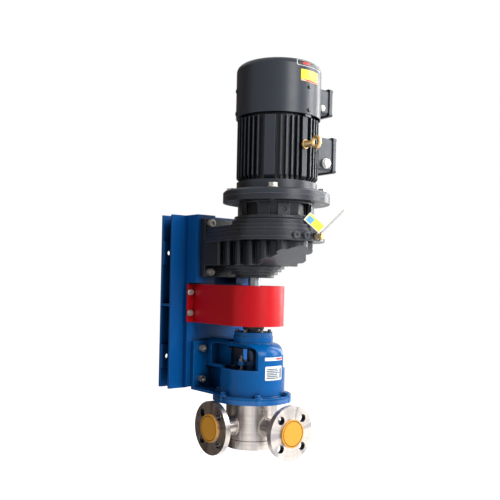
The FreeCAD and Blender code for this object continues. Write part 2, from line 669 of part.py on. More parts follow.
def gear_train():
    """The four reducer gears, in mesh. The motor's pinion has a tooth on the line to the lay shaft."""
    to_lay = math.atan2(LAY_Y - MOTOR_Y, LAY_X)
    lay_to_output = math.atan2(PUMP_Y - LAY_Y, -LAY_X)
    first_top = FIRST_GEAR_BOTTOM + FIRST_GEAR_WIDTH
    second_top = SECOND_GEAR_BOTTOM + SECOND_GEAR_WIDTH
    pinion = spur_gear(MODULE_FIRST, FIRST_PINION_TEETH, PRESSURE_ANGLE, (0, MOTOR_Y), to_lay,
                       FIRST_GEAR_BOTTOM, first_top, 0)
    wheel_angle = meshed_tooth(FIRST_PINION_TEETH, to_lay, to_lay, FIRST_WHEEL_TEETH)
    wheel = spur_gear(MODULE_FIRST, FIRST_WHEEL_TEETH, PRESSURE_ANGLE, (LAY_X, LAY_Y), wheel_angle,
                      FIRST_GEAR_BOTTOM, first_top, LAY_SHAFT_R)
    lay_pinion = spur_gear(MODULE_SECOND, SECOND_PINION_TEETH, PRESSURE_ANGLE, (LAY_X, LAY_Y),
                           lay_to_output, SECOND_GEAR_BOTTOM, second_top, 0)
    output_angle = meshed_tooth(SECOND_PINION_TEETH, lay_to_output, lay_to_output, SECOND_WHEEL_TEETH)
    output = spur_gear(MODULE_SECOND, SECOND_WHEEL_TEETH, PRESSURE_ANGLE, (0, PUMP_Y), output_angle,
                       SECOND_GEAR_BOTTOM, second_top, OUTPUT_SHAFT_R)
    return pinion, wheel, lay_pinion, output


def lay_shaft(pinion):
    low = post(LAY_JOURNAL_R, CASE_BOTTOM + 3, CASE_BOTTOM + CASE_WALL + 2, LAY_X, LAY_Y)
    main = post(LAY_SHAFT_R, CASE_BOTTOM + CASE_WALL + 1, GEAR_ROOM_TOP - 5, LAY_X, LAY_Y)
    return fuse([low, main, pinion])


def motor_shaft(pinion):
    first_top = FIRST_GEAR_BOTTOM + FIRST_GEAR_WIDTH
    main = post(MOTOR_SHAFT_R, first_top, FRAME_TOP_END - 1, 0, MOTOR_Y)
    return fuse([main, pinion])


def output_shaft():
    top = post(OUTPUT_UPPER_R, PARTITION_BOTTOM - 1, CASE_RIM_BOTTOM - 1, 0, PUMP_Y)
    main = post(OUTPUT_SHAFT_R, COUPLING_MIDDLE + COUPLING_GAP / 2 + 1, PARTITION_BOTTOM - CLEAR, 0, PUMP_Y)
    return main.fuse(top).removeSplitter()


def swung(piece, angle):
    """Turn a piece drawn in front of the origin to an angle round the motor's axis."""
    piece.rotate(V(0, 0, 0), UP, -angle)
    piece.translate(V(0, MOTOR_Y, 0))
    return piece


def motor_adapter():
    shell = turned([(ADAPTER_LOW_R - ADAPTER_WALL, COVER_TOP), (ADAPTER_LOW_R, COVER_TOP),
                    (ADAPTER_TOP_R, ADAPTER_FLANGE_BOTTOM), (MOTOR_FLANGE_R, ADAPTER_FLANGE_BOTTOM),
                    (MOTOR_FLANGE_R, ADAPTER_FLANGE_TOP), (ADAPTER_LOW_R - ADAPTER_WALL, ADAPTER_FLANGE_TOP)],
                   0, MOTOR_Y)
    inner = ADAPTER_LOW_R - ADAPTER_WALL
    additions = []
    tools = []
    for quarter in (0, 90, 180, 270):
        for angle in BOSS_PLATE_ANGLES:
            plate = box(-BOSS_PLATE_WIDTH / 2, BOSS_PLATE_WIDTH / 2, -ADAPTER_TOP_R - 1.5, -inner - 2,
                        COVER_TOP, COVER_TOP + BOSS_PLATE_HEIGHT)
            additions.append(swung(plate, angle + quarter))
        x, y = polar(ADAPTER_TOP_R + 1.5, BOSS_PLATE_ANGLES[0] + quarter, 0, MOTOR_Y)
        seat = V(x, y, COVER_TOP + BOSS_PLATE_HEIGHT / 2)
        out = outward(BOSS_PLATE_ANGLES[0] + quarter)
        tools.append(rod(6, seat + out, seat - out * 3))
        recess = box(-RECESS_WIDTH / 2, RECESS_WIDTH / 2, -ADAPTER_TOP_R - 5, -RECESS_FLOOR_R,
                     COVER_TOP + 4, ADAPTER_FLANGE_BOTTOM - 3)
        tools.append(swung(recess, RECESS_ANGLE + quarter))
    tools += [post(MOTOR_FLANGE_BOLT / 2, ADAPTER_FLANGE_BOTTOM - 1, ADAPTER_FLANGE_TOP + 1, x, y)
              for x, y in flange_bolt_places()]
    return cut(fuse([shell] + additions), tools)


def flange_bolt_places():
    return circle_points(4, MOTOR_FLANGE_PCD / 2, 45, 0, MOTOR_Y)


def motor_flange_bolts():
    """Bolts through the motor's flange, screwed into the adapter."""
    bolt = hex_bolt(MOTOR_FLANGE_BOLT, MOTOR_FLANGE_TOP - ADAPTER_FLANGE_BOTTOM, 2.5)
    return Part.makeCompound([aimed(bolt, V(x, y, MOTOR_FLANGE_TOP), UP) for x, y in flange_bolt_places()])


def motor_flange_shield():
    seat = ADAPTER_FLANGE_TOP
    body = turned([(MOTOR_SHAFT_R + 2, seat), (MOTOR_FLANGE_R, seat),
                   (MOTOR_FLANGE_R, MOTOR_FLANGE_TOP - MOTOR_FLANGE_BEVEL),
                   (MOTOR_FLANGE_R - MOTOR_FLANGE_BEVEL, MOTOR_FLANGE_TOP), (BELL_R, MOTOR_FLANGE_TOP),
                   (BELL_R, BELL_TOP), (STATOR_R, BELL_TOP), (STATOR_R, BELL_TOP - 9),
                   (MOTOR_BEARING_R + 9, BELL_TOP - 9), (MOTOR_BEARING_R + 9, MOTOR_FLANGE_TOP + 10),
                   (MOTOR_SHAFT_R + 2, MOTOR_FLANGE_TOP + 10)], 0, MOTOR_Y)
    pocket = post(MOTOR_BEARING_R, seat + 6, BELL_TOP, 0, MOTOR_Y)
    holes = [post(MOTOR_FLANGE_BOLT / 2 + HOLE_SLACK, seat - 1, MOTOR_FLANGE_TOP + 1, x, y)
             for x, y in flange_bolt_places()]
    return cut(body, [pocket] + holes)


def motor_frame():
    """The finned stator frame. Each fin is (angle, half width, tip radius)."""
    pads = [(0, 7.0, FIN_TIP_R - 1), (51, 12.0, FIN_TIP_R - 1), (129, 12.0, FIN_TIP_R - 1),
            (231, 12.0, FIN_TIP_R - 1), (309, 12.0, FIN_TIP_R - 1), (270, 34.0, FIN_TIP_R - 3)]
    fins = list(pads)
    for i in range(int(360 / FIN_PITCH_DEG)):
        angle = i * FIN_PITCH_DEG + FIN_PITCH_DEG / 2
        free = all(abs((angle - a + 180) % 360 - 180) > math.degrees(w / FIN_ROOT_R) + 4 for a, w, tip in pads)
        if free:
            fins.append((angle, FIN_THICK / 2, FIN_TIP_R))
    points = []
    for angle, half, tip in sorted(fins):
        direction = outward(angle)
        side = V(direction.y, -direction.x, 0)
        root = math.sqrt(FIN_ROOT_R**2 - half**2)
        for reach, shift in ((root, -half), (tip, -half), (tip, half), (root, half)):
            point = direction * reach + side * shift
            points.append((point.x, MOTOR_Y + point.y))
    body = prism(points, BELL_TOP, FRAME_TOP_END)
    rise = FIN_TIP_R - FIN_ROOT_R
    limit = turned([(STATOR_R - 5, BELL_TOP), (FIN_ROOT_R + 1, BELL_TOP), (FIN_TIP_R + 2, BELL_TOP + rise + 1),
                    (FIN_TIP_R + 2, FRAME_TOP_END), (STATOR_R - 5, FRAME_TOP_END)], 0, MOTOR_Y)
    seat = eyebolt_seat()
    holes = [post(STATOR_R, BELL_TOP - 1, FRAME_TOP_END + 1, 0, MOTOR_Y),
             rod(EYEBOLT_R, seat + FRONT, seat - FRONT * EYEBOLT_DEPTH)]
    return cut(body.common(limit), holes)


def motor_stator():
    """The core, with a ring of windings above and below it."""
    core = ring(STATOR_R, STATOR_BORE_R, CORE_BOTTOM, CORE_TOP, 0, MOTOR_Y)
    windings = ring(STATOR_R - 5, STATOR_BORE_R + 5, CORE_BOTTOM - WINDING_OVERHANG,
                    CORE_TOP + WINDING_OVERHANG, 0, MOTOR_Y)
    return fuse([core, windings])


def rear_shield():
    disc = post(FIN_ROOT_R, FRAME_TOP_END, REAR_SHIELD_TOP, 0, MOTOR_Y)
    hub = post(MOTOR_BEARING_R + 8, FRAME_TOP_END - MOTOR_BEARING_WIDTH, FRAME_TOP_END + 1, 0, MOTOR_Y)
    pieces = [disc, hub]
    inner = COWL_R - COWL_WALL
    for angle in COWL_SCREW_ANGLES:
        strip = box(-9, 9, -inner - 2, -FAN_R - 3, FRAME_TOP_END, FRAME_TOP_END + COWL_SCREW_RISE[1] + 8)
        strip = strip.fuse(box(-9, 9, -inner - 2, -FIN_ROOT_R + 6, FRAME_TOP_END, REAR_SHIELD_TOP))
        pieces.append(swung(strip, angle).common(post(inner, FRAME_TOP_END, COWL_TOP, 0, MOTOR_Y)))
    pocket = post(MOTOR_BEARING_R, FRAME_TOP_END - MOTOR_BEARING_WIDTH - 1, FRAME_TOP_END, 0, MOTOR_Y)
    return cut(fuse(pieces), [pocket] + cowl_screw_holes())


def motor_bearings():
    low = ADAPTER_FLANGE_TOP + 6
    high = FRAME_TOP_END - MOTOR_BEARING_WIDTH
    return Part.makeCompound([ring(MOTOR_BEARING_R, MOTOR_SHAFT_R + RUN, z, z + MOTOR_BEARING_WIDTH, 0, MOTOR_Y)
                              for z in (low, high)])


def cowl_screw_seats():
    seats = []
    for angle in COWL_SCREW_ANGLES:
        x, y = polar(COWL_R - 0.4, angle, 0, MOTOR_Y)
        seats += [(V(x, y, z), outward(angle)) for z in (FRAME_TOP_END + rise for rise in COWL_SCREW_RISE)]
    return seats


def cowl_screw_holes():
    return [rod(2.5, seat + out * 3, seat - out * 9) for seat, out in cowl_screw_seats()]


def fan_cowl():
    """A drawn steel cowl with a round shoulder and ring slots in its top."""
    def shell(radius, top, rounding, bottom):
        shoulder = radius - rounding
        bend = rounding * math.sqrt(0.5)
        edges = [Part.makeLine(V(0, MOTOR_Y, bottom), V(radius, MOTOR_Y, bottom)),
                 Part.makeLine(V(radius, MOTOR_Y, bottom), V(radius, MOTOR_Y, top - rounding)),
                 Part.Arc(V(radius, MOTOR_Y, top - rounding),
                          V(shoulder + bend, MOTOR_Y, top - rounding + bend),
                          V(shoulder, MOTOR_Y, top)).toShape(),
                 Part.makeLine(V(shoulder, MOTOR_Y, top), V(0, MOTOR_Y, top)),
                 Part.makeLine(V(0, MOTOR_Y, top), V(0, MOTOR_Y, bottom))]
        return Part.Face(Part.Wire(edges)).revolve(V(0, MOTOR_Y, 0), UP, 360)
    outer = shell(COWL_R, COWL_TOP, COWL_ROUND, COWL_BOTTOM)
    inner = shell(COWL_R - COWL_WALL, COWL_TOP - COWL_WALL, COWL_ROUND - COWL_WALL, COWL_BOTTOM - 1)
    slots = [ring(r + 6, r, COWL_TOP - COWL_WALL - 1, COWL_TOP + 1, 0, MOTOR_Y) for r in (42, 54, 66)]
    spokes = fuse([box(-COWL_R, COWL_R, -4, 4, COWL_TOP - 5, COWL_TOP + 2),
                   box(-4, 4, -COWL_R, COWL_R, COWL_TOP - 5, COWL_TOP + 2)])
    spokes.rotate(V(0, 0, 0), UP, 45)
    spokes.translate(V(0, MOTOR_Y, 0))
    slots = [slot.cut(spokes) for slot in slots]
    return outer.cut(inner).cut(Part.makeCompound(slots + cowl_screw_holes()))


def cover_screws():
    """The small black screws of the cowl and of the terminal box lids."""
    screw = post(2.5, -8.6, 1, 0, 0).fuse(post(4.2, 0.4, 3.2, 0, 0)).removeSplitter()
    pieces = [aimed(screw, seat, out) for seat, out in cowl_screw_seats()]
    for box_size in (MAIN_BOX, FAN_BOX):
        pieces += [aimed(screw, p, RIGHT) for p in lid_screw_places(box_size)]
    return Part.makeCompound(pieces)


def lid_screw_places(box_size):
    half, low, high, face, lid = box_size
    inset = 5.0
    x = face + lid - 0.4
    return [V(x, MOTOR_Y + s * (half + LID_LIP - inset), z)
            for s in (-1, 1) for z in (low - LID_LIP + inset, high + LID_LIP - inset)]


def terminal_box(box_size, inner_x):
    """A box body, hollow under its lid, that stands out to the right of the motor."""
    half, low, high, face, lid = box_size
    body = box(inner_x, face, MOTOR_Y - half, MOTOR_Y + half, low, high)
    long_edges = [e for e in body.Edges if abs(e.Vertexes[0].X - e.Vertexes[1].X) > 1]
    body = body.makeFillet(7, long_edges)
    room = box(face - 22, face + 1, MOTOR_Y - half + 6, MOTOR_Y + half - 6, low + 6, high - 6)
    return body.cut(room)


def terminal_box_lid(box_size):
    half, low, high, face, lid = box_size
    reach = half + LID_LIP
    plate = box(face, face + lid, MOTOR_Y - reach, MOTOR_Y + reach, low - LID_LIP, high + LID_LIP)
    long_edges = [e for e in plate.Edges if abs(e.Vertexes[0].X - e.Vertexes[1].X) > 1]
    plate = plate.makeFillet(6, long_edges)
    holes = [rod(2.5, p + RIGHT * 2, p - RIGHT * (lid + 2)) for p in lid_screw_places(box_size)]
    return cut(plate, holes)


def cut_screws(body, box_size):
    """Take the lid screws' ends out of a box body."""
    return cut(body, [rod(2.5, p, p - RIGHT * 12) for p in lid_screw_places(box_size)])


def cable_entry_plugs():
    """Blanking plugs in the front walls of the two terminal boxes."""
    plugs = []
    for (half, low, high, face, lid), radius in ((MAIN_BOX, MAIN_ENTRY_R), (FAN_BOX, FAN_ENTRY_R)):
        plug = fuse([post(radius, 0, radius / 3, 0, 0), hexagon(radius * 1.6, radius / 3, radius * 0.75)])
        plugs.append(aimed(plug, V(face - ENTRY_FROM_LID, MOTOR_Y - half, low + radius + 6), FRONT))
    return Part.makeCompound(plugs)


def eyebolt_seat():
    return V(0, MOTOR_Y - FIN_TIP_R + 1, EYEBOLT_Z)


def lifting_eyebolt():
    seat = eyebolt_seat()
    collar = rod(10, seat, seat + FRONT * 4)
    neck_end = V(0, MOTOR_Y - EYE_CENTRE_R + EYE_RING_R, EYEBOLT_Z)
    neck = Part.makeCone(9, 5, (neck_end - seat).Length - 3, seat + FRONT * 3, FRONT)
    shank = rod(EYEBOLT_R, seat, seat - FRONT * EYEBOLT_DEPTH)
    eye = Part.makeTorus(EYE_RING_R, EYE_WIRE_R, V(0, MOTOR_Y - EYE_CENTRE_R, EYEBOLT_Z), RIGHT)
    return fuse([shank, collar, neck, eye])


def cooling_fan():
    hub = post(FAN_HUB_R, FAN_BOTTOM, FAN_BOTTOM + FAN_HEIGHT, 0, MOTOR_Y)
    shaft = post(FAN_SHAFT_R, FAN_BOTTOM + 5, FAN_MOTOR_BOTTOM + 25, 0, MOTOR_Y)
    blades = []
    for i in range(FAN_BLADES):
        blade = box(FAN_HUB_R - 3, FAN_R - 2, -1.5, 1.5, -FAN_HEIGHT / 2, FAN_HEIGHT / 2)
        blade.rotate(V(0, 0, 0), V(1, 0, 0), 40)
        blade.rotate(V(0, 0, 0), UP, 360 * i / FAN_BLADES)
        blade.translate(V(0, MOTOR_Y, FAN_BOTTOM + FAN_HEIGHT / 2))
        blades.append(blade)
    return fuse([hub, shaft] + blades)


def fan_motor():
    return ring(FAN_MOTOR_R, FAN_SHAFT_R + RUN, FAN_MOTOR_BOTTOM, COWL_TOP - COWL_WALL, 0, MOTOR_Y)


def upper_coupling_hub():
    low = COUPLING_MIDDLE + COUPLING_GAP / 2
    flange = post(COUPLING_R, low, low + COUPLING_FLANGE, 0, PUMP_Y)
    hub = post(COUPLING_HUB_R, low, low + COUPLING_FLANGE + COUPLING_HUB_LENGTH, 0, PUMP_Y)
    holes = [post(BUSH_R, low - 1, low + COUPLING_FLANGE + 1, x, y) for x, y in pin_places()]
    bore = post(OUTPUT_SHAFT_R, low - 1, low + COUPLING_FLANGE + COUPLING_HUB_LENGTH + 1, 0, PUMP_Y)
    return cut(fuse([flange, hub]), holes + [bore])


def lower_coupling_hub():
    high = COUPLING_MIDDLE - COUPLING_GAP / 2
    flange = post(COUPLING_R, high - COUPLING_FLANGE, high, 0, PUMP_Y)
    hub = post(COUPLING_HUB_R, high - COUPLING_FLANGE - LOWER_HUB_LENGTH, high, 0, PUMP_Y)
    holes = [post(PIN_R, high - COUPLING_FLANGE - 1, high + 1, x, y) for x, y in pin_places()]
    bore = post(PUMP_SHAFT_R, high - COUPLING_FLANGE - LOWER_HUB_LENGTH - 1, high + 1, 0, PUMP_Y)
    return cut(fuse([flange, hub]), holes + [bore])


def pin_places():
    return circle_points(PIN_COUNT, PIN_CIRCLE_R, 0, 0, PUMP_Y)


def coupling_pins():
    high = COUPLING_MIDDLE + COUPLING_GAP / 2 + COUPLING_FLANGE
    low = COUPLING_MIDDLE - COUPLING_GAP / 2 - COUPLING_FLANGE
    pins = []
    for x, y in pin_places():
        pin = post(PIN_R, low - 7, high + 2, 0, 0).fuse(hexagon(16, low - 6, low))
        pins.append(aimed(pin.removeSplitter(), V(x, y, 0), UP))
    return Part.makeCompound(pins)


def coupling_bushes():
    low = COUPLING_MIDDLE + COUPLING_GAP / 2
    return Part.makeCompound([ring(BUSH_R, PIN_R, low, low + COUPLING_FLANGE, x, y) for x, y in pin_places()])


def coupling_guard():
    """A steel band bent round the coupling, with a tab at each end for its screws."""
    back = PLATE_FRONT
    inner_r = GUARD_R - GUARD_SHEET
    nose = post(GUARD_R, GUARD_BOTTOM, GUARD_TOP, 0, PUMP_Y)
    sides = box(-GUARD_R, GUARD_R, PUMP_Y, back, GUARD_BOTTOM, GUARD_TOP)
    room = post(inner_r, GUARD_BOTTOM - 1, GUARD_TOP + 1, 0, PUMP_Y)
    hall = box(-inner_r, inner_r, PUMP_Y, back + 1, GUARD_BOTTOM - 1, GUARD_TOP + 1)
    band = nose.fuse(sides).removeSplitter().cut(room.fuse(hall))
    tabs = [box(s * inner_r, s * (GUARD_R + GUARD_TAB), back - GUARD_SHEET, back, GUARD_BOTTOM, GUARD_TOP)
            for s in (-1, 1)]
    holes = shaft_holes(GUARD_SCREW, guard_screw_places(back - GUARD_SHEET), -FRONT, GUARD_SHEET + 1)
    return cut(fuse([band] + tabs), holes)


def guard_screws():
    bolt = hex_bolt(GUARD_SCREW, GUARD_SHEET + 8, 1.6)
    return Part.makeCompound([aimed(bolt, p, FRONT) for p in guard_screw_places(PLATE_FRONT - GUARD_SHEET)])


def gearbox_foot_bolts():
    bolt = socket_screw(FOOT_BOLT, FOOT_THICK + LEG_FRONT_WALL - 1)
    return Part.makeCompound([aimed(bolt, p, FRONT) for p in gearbox_foot_places(FOOT_FRONT)])


def bracket_foot_bolts():
    bolt = socket_screw(BRACKET_FOOT_BOLT, BRACKET_FOOT_THICK + PLATE_THICK - 3)
    return Part.makeCompound([aimed(bolt, p, FRONT) for p in bracket_foot_places(BRACKET_FOOT_FRONT)])


def eared_flange(z0, z1, rise=0.0):
    """A round flange with a boss at each bolt, raised above it by rise."""
    disc = post(BRACKET_FLANGE_R, z0, z1, 0, PUMP_Y)
    ears = [post(EAR_R, z0, z1 + rise, x, y) for x, y in flange_ear_places()]
    return fuse([disc] + ears)


def flange_ear_places():
    return circle_points(FLANGE_BOLT_COUNT, EAR_CIRCLE_R, 30, 0, PUMP_Y)


def ear_holes(z0, z1):
    return [post(FLANGE_BOLT / 2 + HOLE_SLACK, z0 - 1, z1 + 1, x, y) for x, y in flange_ear_places()]


def dome(radius, neck_r, neck_end, top, bottom):
    """The bell of the bracket: a straight neck, a round shoulder and a straight skirt."""
    rounding = radius - neck_r
    bend = rounding * math.sqrt(0.5)
    y = PUMP_Y
    shoulder_z = neck_end - rounding
    edges = [Part.makeLine(V(0, y, bottom), V(radius, y, bottom)),
             Part.makeLine(V(radius, y, bottom), V(radius, y, shoulder_z)),
             Part.Arc(V(radius, y, shoulder_z), V(neck_r + bend, y, shoulder_z + bend),
                      V(neck_r, y, neck_end)).toShape(),
             Part.makeLine(V(neck_r, y, neck_end), V(neck_r, y, top)),
             Part.makeLine(V(neck_r, y, top), V(0, y, top)),
             Part.makeLine(V(0, y, top), V(0, y, bottom))]
    return Part.Face(Part.Wire(edges)).revolve(V(0, y, 0), UP, 360)


def pump_bracket():
    """The lantern between the frame, the coupling and the pump."""
    outside = dome(BRACKET_R, BRACKET_NECK_R, BRACKET_NECK_END, BRACKET_TOP, BRACKET_FLANGE_BOTTOM)
    inside_r = BRACKET_R - BRACKET_WALL
    inside = dome(inside_r, BRACKET_NECK_R - 8, BRACKET_NECK_END - 12, BRACKET_NECK_END - 11,
                  BRACKET_FLANGE_BOTTOM - 1)
    housing = post(HOUSING_R, HOUSING_BOTTOM, BRACKET_NECK_END, 0, PUMP_Y)
    shell = outside.cut(inside)
    foot = box(-BRACKET_FOOT_HALF_WIDTH, BRACKET_FOOT_HALF_WIDTH, BRACKET_FOOT_FRONT, PLATE_FRONT,
               BRACKET_FOOT_BOTTOM, BRACKET_FOOT_TOP)
    inner_back = PUMP_Y + inside_r * 0.8
    hood = box(-BRACKET_HOOD_HALF_WIDTH, BRACKET_HOOD_HALF_WIDTH, inner_back, BRACKET_FOOT_FRONT + 1,
               WINDOW_BOTTOM - 7, BRACKET_FOOT_TOP + 10)
    hood_top = [e for e in hood.Edges if abs(e.Vertexes[0].Y - e.Vertexes[1].Y) > 1
                and e.CenterOfMass.z > BRACKET_FOOT_TOP]
    hood = hood.makeFillet(BRACKET_HOOD_HALF_WIDTH * 0.6, hood_top)
    web = box(-BRACKET_WEB_HALF_WIDTH, BRACKET_WEB_HALF_WIDTH, inner_back, BRACKET_FOOT_FRONT + 1,
              BRACKET_FOOT_BOTTOM, WINDOW_BOTTOM)
    flange = eared_flange(BRACKET_FLANGE_BOTTOM, BRACKET_FLANGE_TOP - EAR_RISE, EAR_RISE)
    gusset_base = box(-BRACKET_FOOT_HALF_WIDTH, BRACKET_FOOT_HALF_WIDTH, PUMP_Y + 40, BRACKET_FOOT_FRONT,
                      BRACKET_FLANGE_BOTTOM, BRACKET_FLANGE_TOP - EAR_RISE)
    gusset_base = gusset_base.fuse(box(-BRACKET_FOOT_HALF_WIDTH, BRACKET_FOOT_HALF_WIDTH, BRACKET_FOOT_FRONT,
                                       PLATE_FRONT - 4, BRACKET_FLANGE_BOTTOM, BRACKET_FOOT_BOTTOM + 1))
    body = fuse([shell.fuse(hood), housing, foot, web, flange, gusset_base])
    tools = [post(inside_r, BRACKET_FLANGE_BOTTOM - 1, WINDOW_BOTTOM - 2, 0, PUMP_Y),
             post(PUMP_BEARING_R, HOUSING_BOTTOM + 3, BRACKET_TOP + 1, 0, PUMP_Y),
             post(PUMP_SHAFT_R + 2, HOUSING_BOTTOM - 1, BRACKET_TOP + 1, 0, PUMP_Y)]
    for side in (-1, 1):
        window = box(side * WINDOW_JAMB_X, side * BRACKET_R * 1.2, PUMP_Y - BRACKET_R, PUMP_Y + inside_r * 0.7,
                     WINDOW_BOTTOM, WINDOW_TOP)
        arch = [e for e in window.Edges if abs(e.Vertexes[0].Y - e.Vertexes[1].Y) > 1
                and e.CenterOfMass.z > WINDOW_TOP - 1 and abs(e.CenterOfMass.x) < WINDOW_JAMB_X + 1]
        tools.append(window.makeFillet(WINDOW_ROUND, arch))
        recess = box(side * RECESS_WALL_HALF, side * BRACKET_R * 1.2, PUMP_Y + HOUSING_R + 4,
                     PUMP_Y + WINDOW_BACK, WINDOW_BOTTOM, WINDOW_TOP - 8)
        corner = [e for e in recess.Edges if abs(e.Vertexes[0].X - e.Vertexes[1].X) > 1
                  and e.CenterOfMass.z > WINDOW_TOP - 9 and e.CenterOfMass.y > PUMP_Y + WINDOW_BACK - 1]
        tools.append(recess.makeFillet(WINDOW_ROUND / 2, corner))
    tools += ear_holes(BRACKET_FLANGE_BOTTOM, BRACKET_FLANGE_TOP)
    tools += [post(COVER_SCREW / 2, BRACKET_TOP - 12, BRACKET_TOP + 1, x, y) for x, y in cover_screw_places()]
    tools += shaft_holes(BRACKET_FOOT_BOLT, bracket_foot_places(BRACKET_FOOT_FRONT), -FRONT,
                         BRACKET_FOOT_THICK + 1)
    return cut(body, tools)


def cover_screw_places():
    return circle_points(6, COVER_SCREW_CIRCLE_R, 10, 0, PUMP_Y)


def bearing_cover():
    body = ring(COVER_RING_R, PUMP_SHAFT_R + CLEAR, BRACKET_TOP, COVER_RING_TOP, 0, PUMP_Y)
    body = body.fuse(ring(PUMP_BEARING_R, PUMP_SHAFT_R + CLEAR, BRACKET_TOP - 3, BRACKET_TOP, 0, PUMP_Y))
    return cut(body, [post(COVER_SCREW / 2, BRACKET_TOP - 4, COVER_RING_TOP + 1, x, y)
                      for x, y in cover_screw_places()])


def bearing_cover_screws():
    screw = socket_screw(COVER_SCREW, COVER_RING_TOP - BRACKET_TOP + 10)
    return Part.makeCompound([aimed(screw, V(x, y, COVER_RING_TOP), UP) for x, y in cover_screw_places()])


def pump_bearings():
    upper = BRACKET_TOP - 3 - PUMP_BEARING_WIDTH
    lower = HOUSING_BOTTOM + 3
    return Part.makeCompound([ring(PUMP_BEARING_R, PUMP_SHAFT_R + RUN, z, z + PUMP_BEARING_WIDTH, 0, PUMP_Y)
                              for z in (upper, lower)])


def pump_shaft():
    top = COUPLING_MIDDLE - COUPLING_GAP / 2 - 1
    return post(PUMP_SHAFT_R, ROTOR_TOP - ROTOR_DISC, top, 0, PUMP_Y)


def gland_follower():
    """An oval gland flange on a sleeve that presses the packing."""
    low = GLAND_FLANGE_TOP - GLAND_FLANGE_THICK
    disc = post(PACKING_R + 4, low, GLAND_FLANGE_TOP, 0, PUMP_Y)
    ears = [post(GLAND_STUD + 2, low, GLAND_FLANGE_TOP, s * GLAND_STUD_X, PUMP_Y) for s in (-1, 1)]
    bar = box(-GLAND_STUD_X, GLAND_STUD_X, PUMP_Y - GLAND_STUD - 2, PUMP_Y + GLAND_STUD + 2,
              low, GLAND_FLANGE_TOP)
    sleeve = post(PACKING_R, PACKING_TOP, low + 1, 0, PUMP_Y)
    tools = [post(PUMP_SHAFT_R + CLEAR, PACKING_TOP - 1, GLAND_FLANGE_TOP + 1, 0, PUMP_Y)]
    tools += [post(GLAND_STUD / 2 + HOLE_SLACK, low - 1, GLAND_FLANGE_TOP + 1, s * GLAND_STUD_X, PUMP_Y)
              for s in (-1, 1)]
    return cut(fuse([disc, bar, sleeve] + ears), tools)


def gland_studs():
    stud = stud_and_nut(GLAND_STUD, BOX_TOP - 14, GLAND_FLANGE_TOP + 14, GLAND_FLANGE_TOP)
    return Part.makeCompound([aimed(stud, V(s * GLAND_STUD_X, PUMP_Y, 0), UP) for s in (-1, 1)])


def shaft_packing():
    thick = (PACKING_TOP - PACKING_BOTTOM) / 4
    return Part.makeCompound([ring(PACKING_R, PUMP_SHAFT_R + RUN, PACKING_BOTTOM + i * thick,
                                   PACKING_BOTTOM + (i + 1) * thick, 0, PUMP_Y) for i in range(4)])


def port(direction, reach):
    """A neck with a standard flange, its face at reach from the pump's axis."""
    axis = V(0, PUMP_Y, PORT_Z)
    face = axis + direction * reach
    flange_back = face - direction * PORT_FLANGE_THICK
    neck = rod(PORT_NECK_R, axis + direction * (PUMP_LOWER_R - 20), flange_back + direction)
    flange = rod(PORT_FLANGE_R, flange_back, face - direction * PORT_FACE_RISE)
    raised = rod(PORT_FACE_R, flange_back, face)
    side = direction.cross(UP)
    holes = []
    for i in range(4):
        angle = math.radians(45 + 90 * i)
        across = side * math.cos(angle) + UP * math.sin(angle)
        centre = face + across * (PORT_PCD / 2)
        holes.append(rod(PORT_HOLE_R, centre + direction, centre - direction * (PORT_FLANGE_THICK + 2)))
    bore = rod(PORT_BORE_R, axis + direction * (ROTOR_OUTER_R - 6), face + direction)
    return fuse([neck, flange, raised]), holes + [bore]


def pump_body():
    profile = [(0, PUMP_BODY_BOTTOM), (PUMP_LOWER_R, PUMP_BODY_BOTTOM), (PUMP_LOWER_R, PUMP_BODY_STEP),
               (PUMP_BODY_R, PUMP_BODY_STEP), (PUMP_BODY_R, BRACKET_FLANGE_BOTTOM),
               (SPIGOT_R, BRACKET_FLANGE_BOTTOM), (SPIGOT_R, BRACKET_FLANGE_BOTTOM + 9),
               (BOX_R, BRACKET_FLANGE_BOTTOM + 9), (BOX_R, BOX_TOP), (0, BOX_TOP)]
    body = turned(profile, 0, PUMP_Y)
    flange = eared_flange(PUMP_FLANGE_BOTTOM, BRACKET_FLANGE_BOTTOM)
    stud_bosses = [post(GLAND_STUD, BOX_TOP - 26, BOX_TOP, s * GLAND_STUD_X, PUMP_Y) for s in (-1, 1)]
    left, left_tools = port(LEFT, LEFT_PORT_REACH)
    front, front_tools = port(FRONT, FRONT_PORT_REACH)
    tools = [post(ROTOR_OUTER_R + RUN * 2, PUMP_BODY_BOTTOM - 1, ROTOR_TOP + CLEAR, 0, PUMP_Y),
             post(PUMP_SHAFT_R + RUN * 2, ROTOR_TOP - 1, PACKING_BOTTOM + 1, 0, PUMP_Y),
             post(PACKING_R, PACKING_BOTTOM, BOX_TOP + 1, 0, PUMP_Y)]
    tools += [post(GLAND_STUD / 2, BOX_TOP - 14, BOX_TOP + 1, s * GLAND_STUD_X, PUMP_Y) for s in (-1, 1)]
    tools += [post(END_BOLT / 2, PUMP_BODY_BOTTOM - 1, PUMP_BODY_BOTTOM + 12, x, y)
              for x, y in end_bolt_places()]
    tools += [post(FLANGE_BOLT / 2, PUMP_FLANGE_BOTTOM - 1, BRACKET_FLANGE_BOTTOM + 1, x, y)
              for x, y in flange_ear_places()]
    gauge_boss = rod(GAUGE_PLUG_R, gauge_plug_seat(), gauge_plug_seat() - outward(GAUGE_PLUG_ANGLE) * 12)
    return cut(fuse([body, flange, left, front, gauge_boss] + stud_bosses), left_tools + front_tools + tools)


def bracket_flange_bolts():
    """Bolts through the bracket's flange, screwed into the pump's flange."""
    bolt = hex_bolt(FLANGE_BOLT, BRACKET_FLANGE_TOP - PUMP_FLANGE_BOTTOM)
    return Part.makeCompound([aimed(bolt, V(x, y, BRACKET_FLANGE_TOP), UP) for x, y in flange_ear_places()])


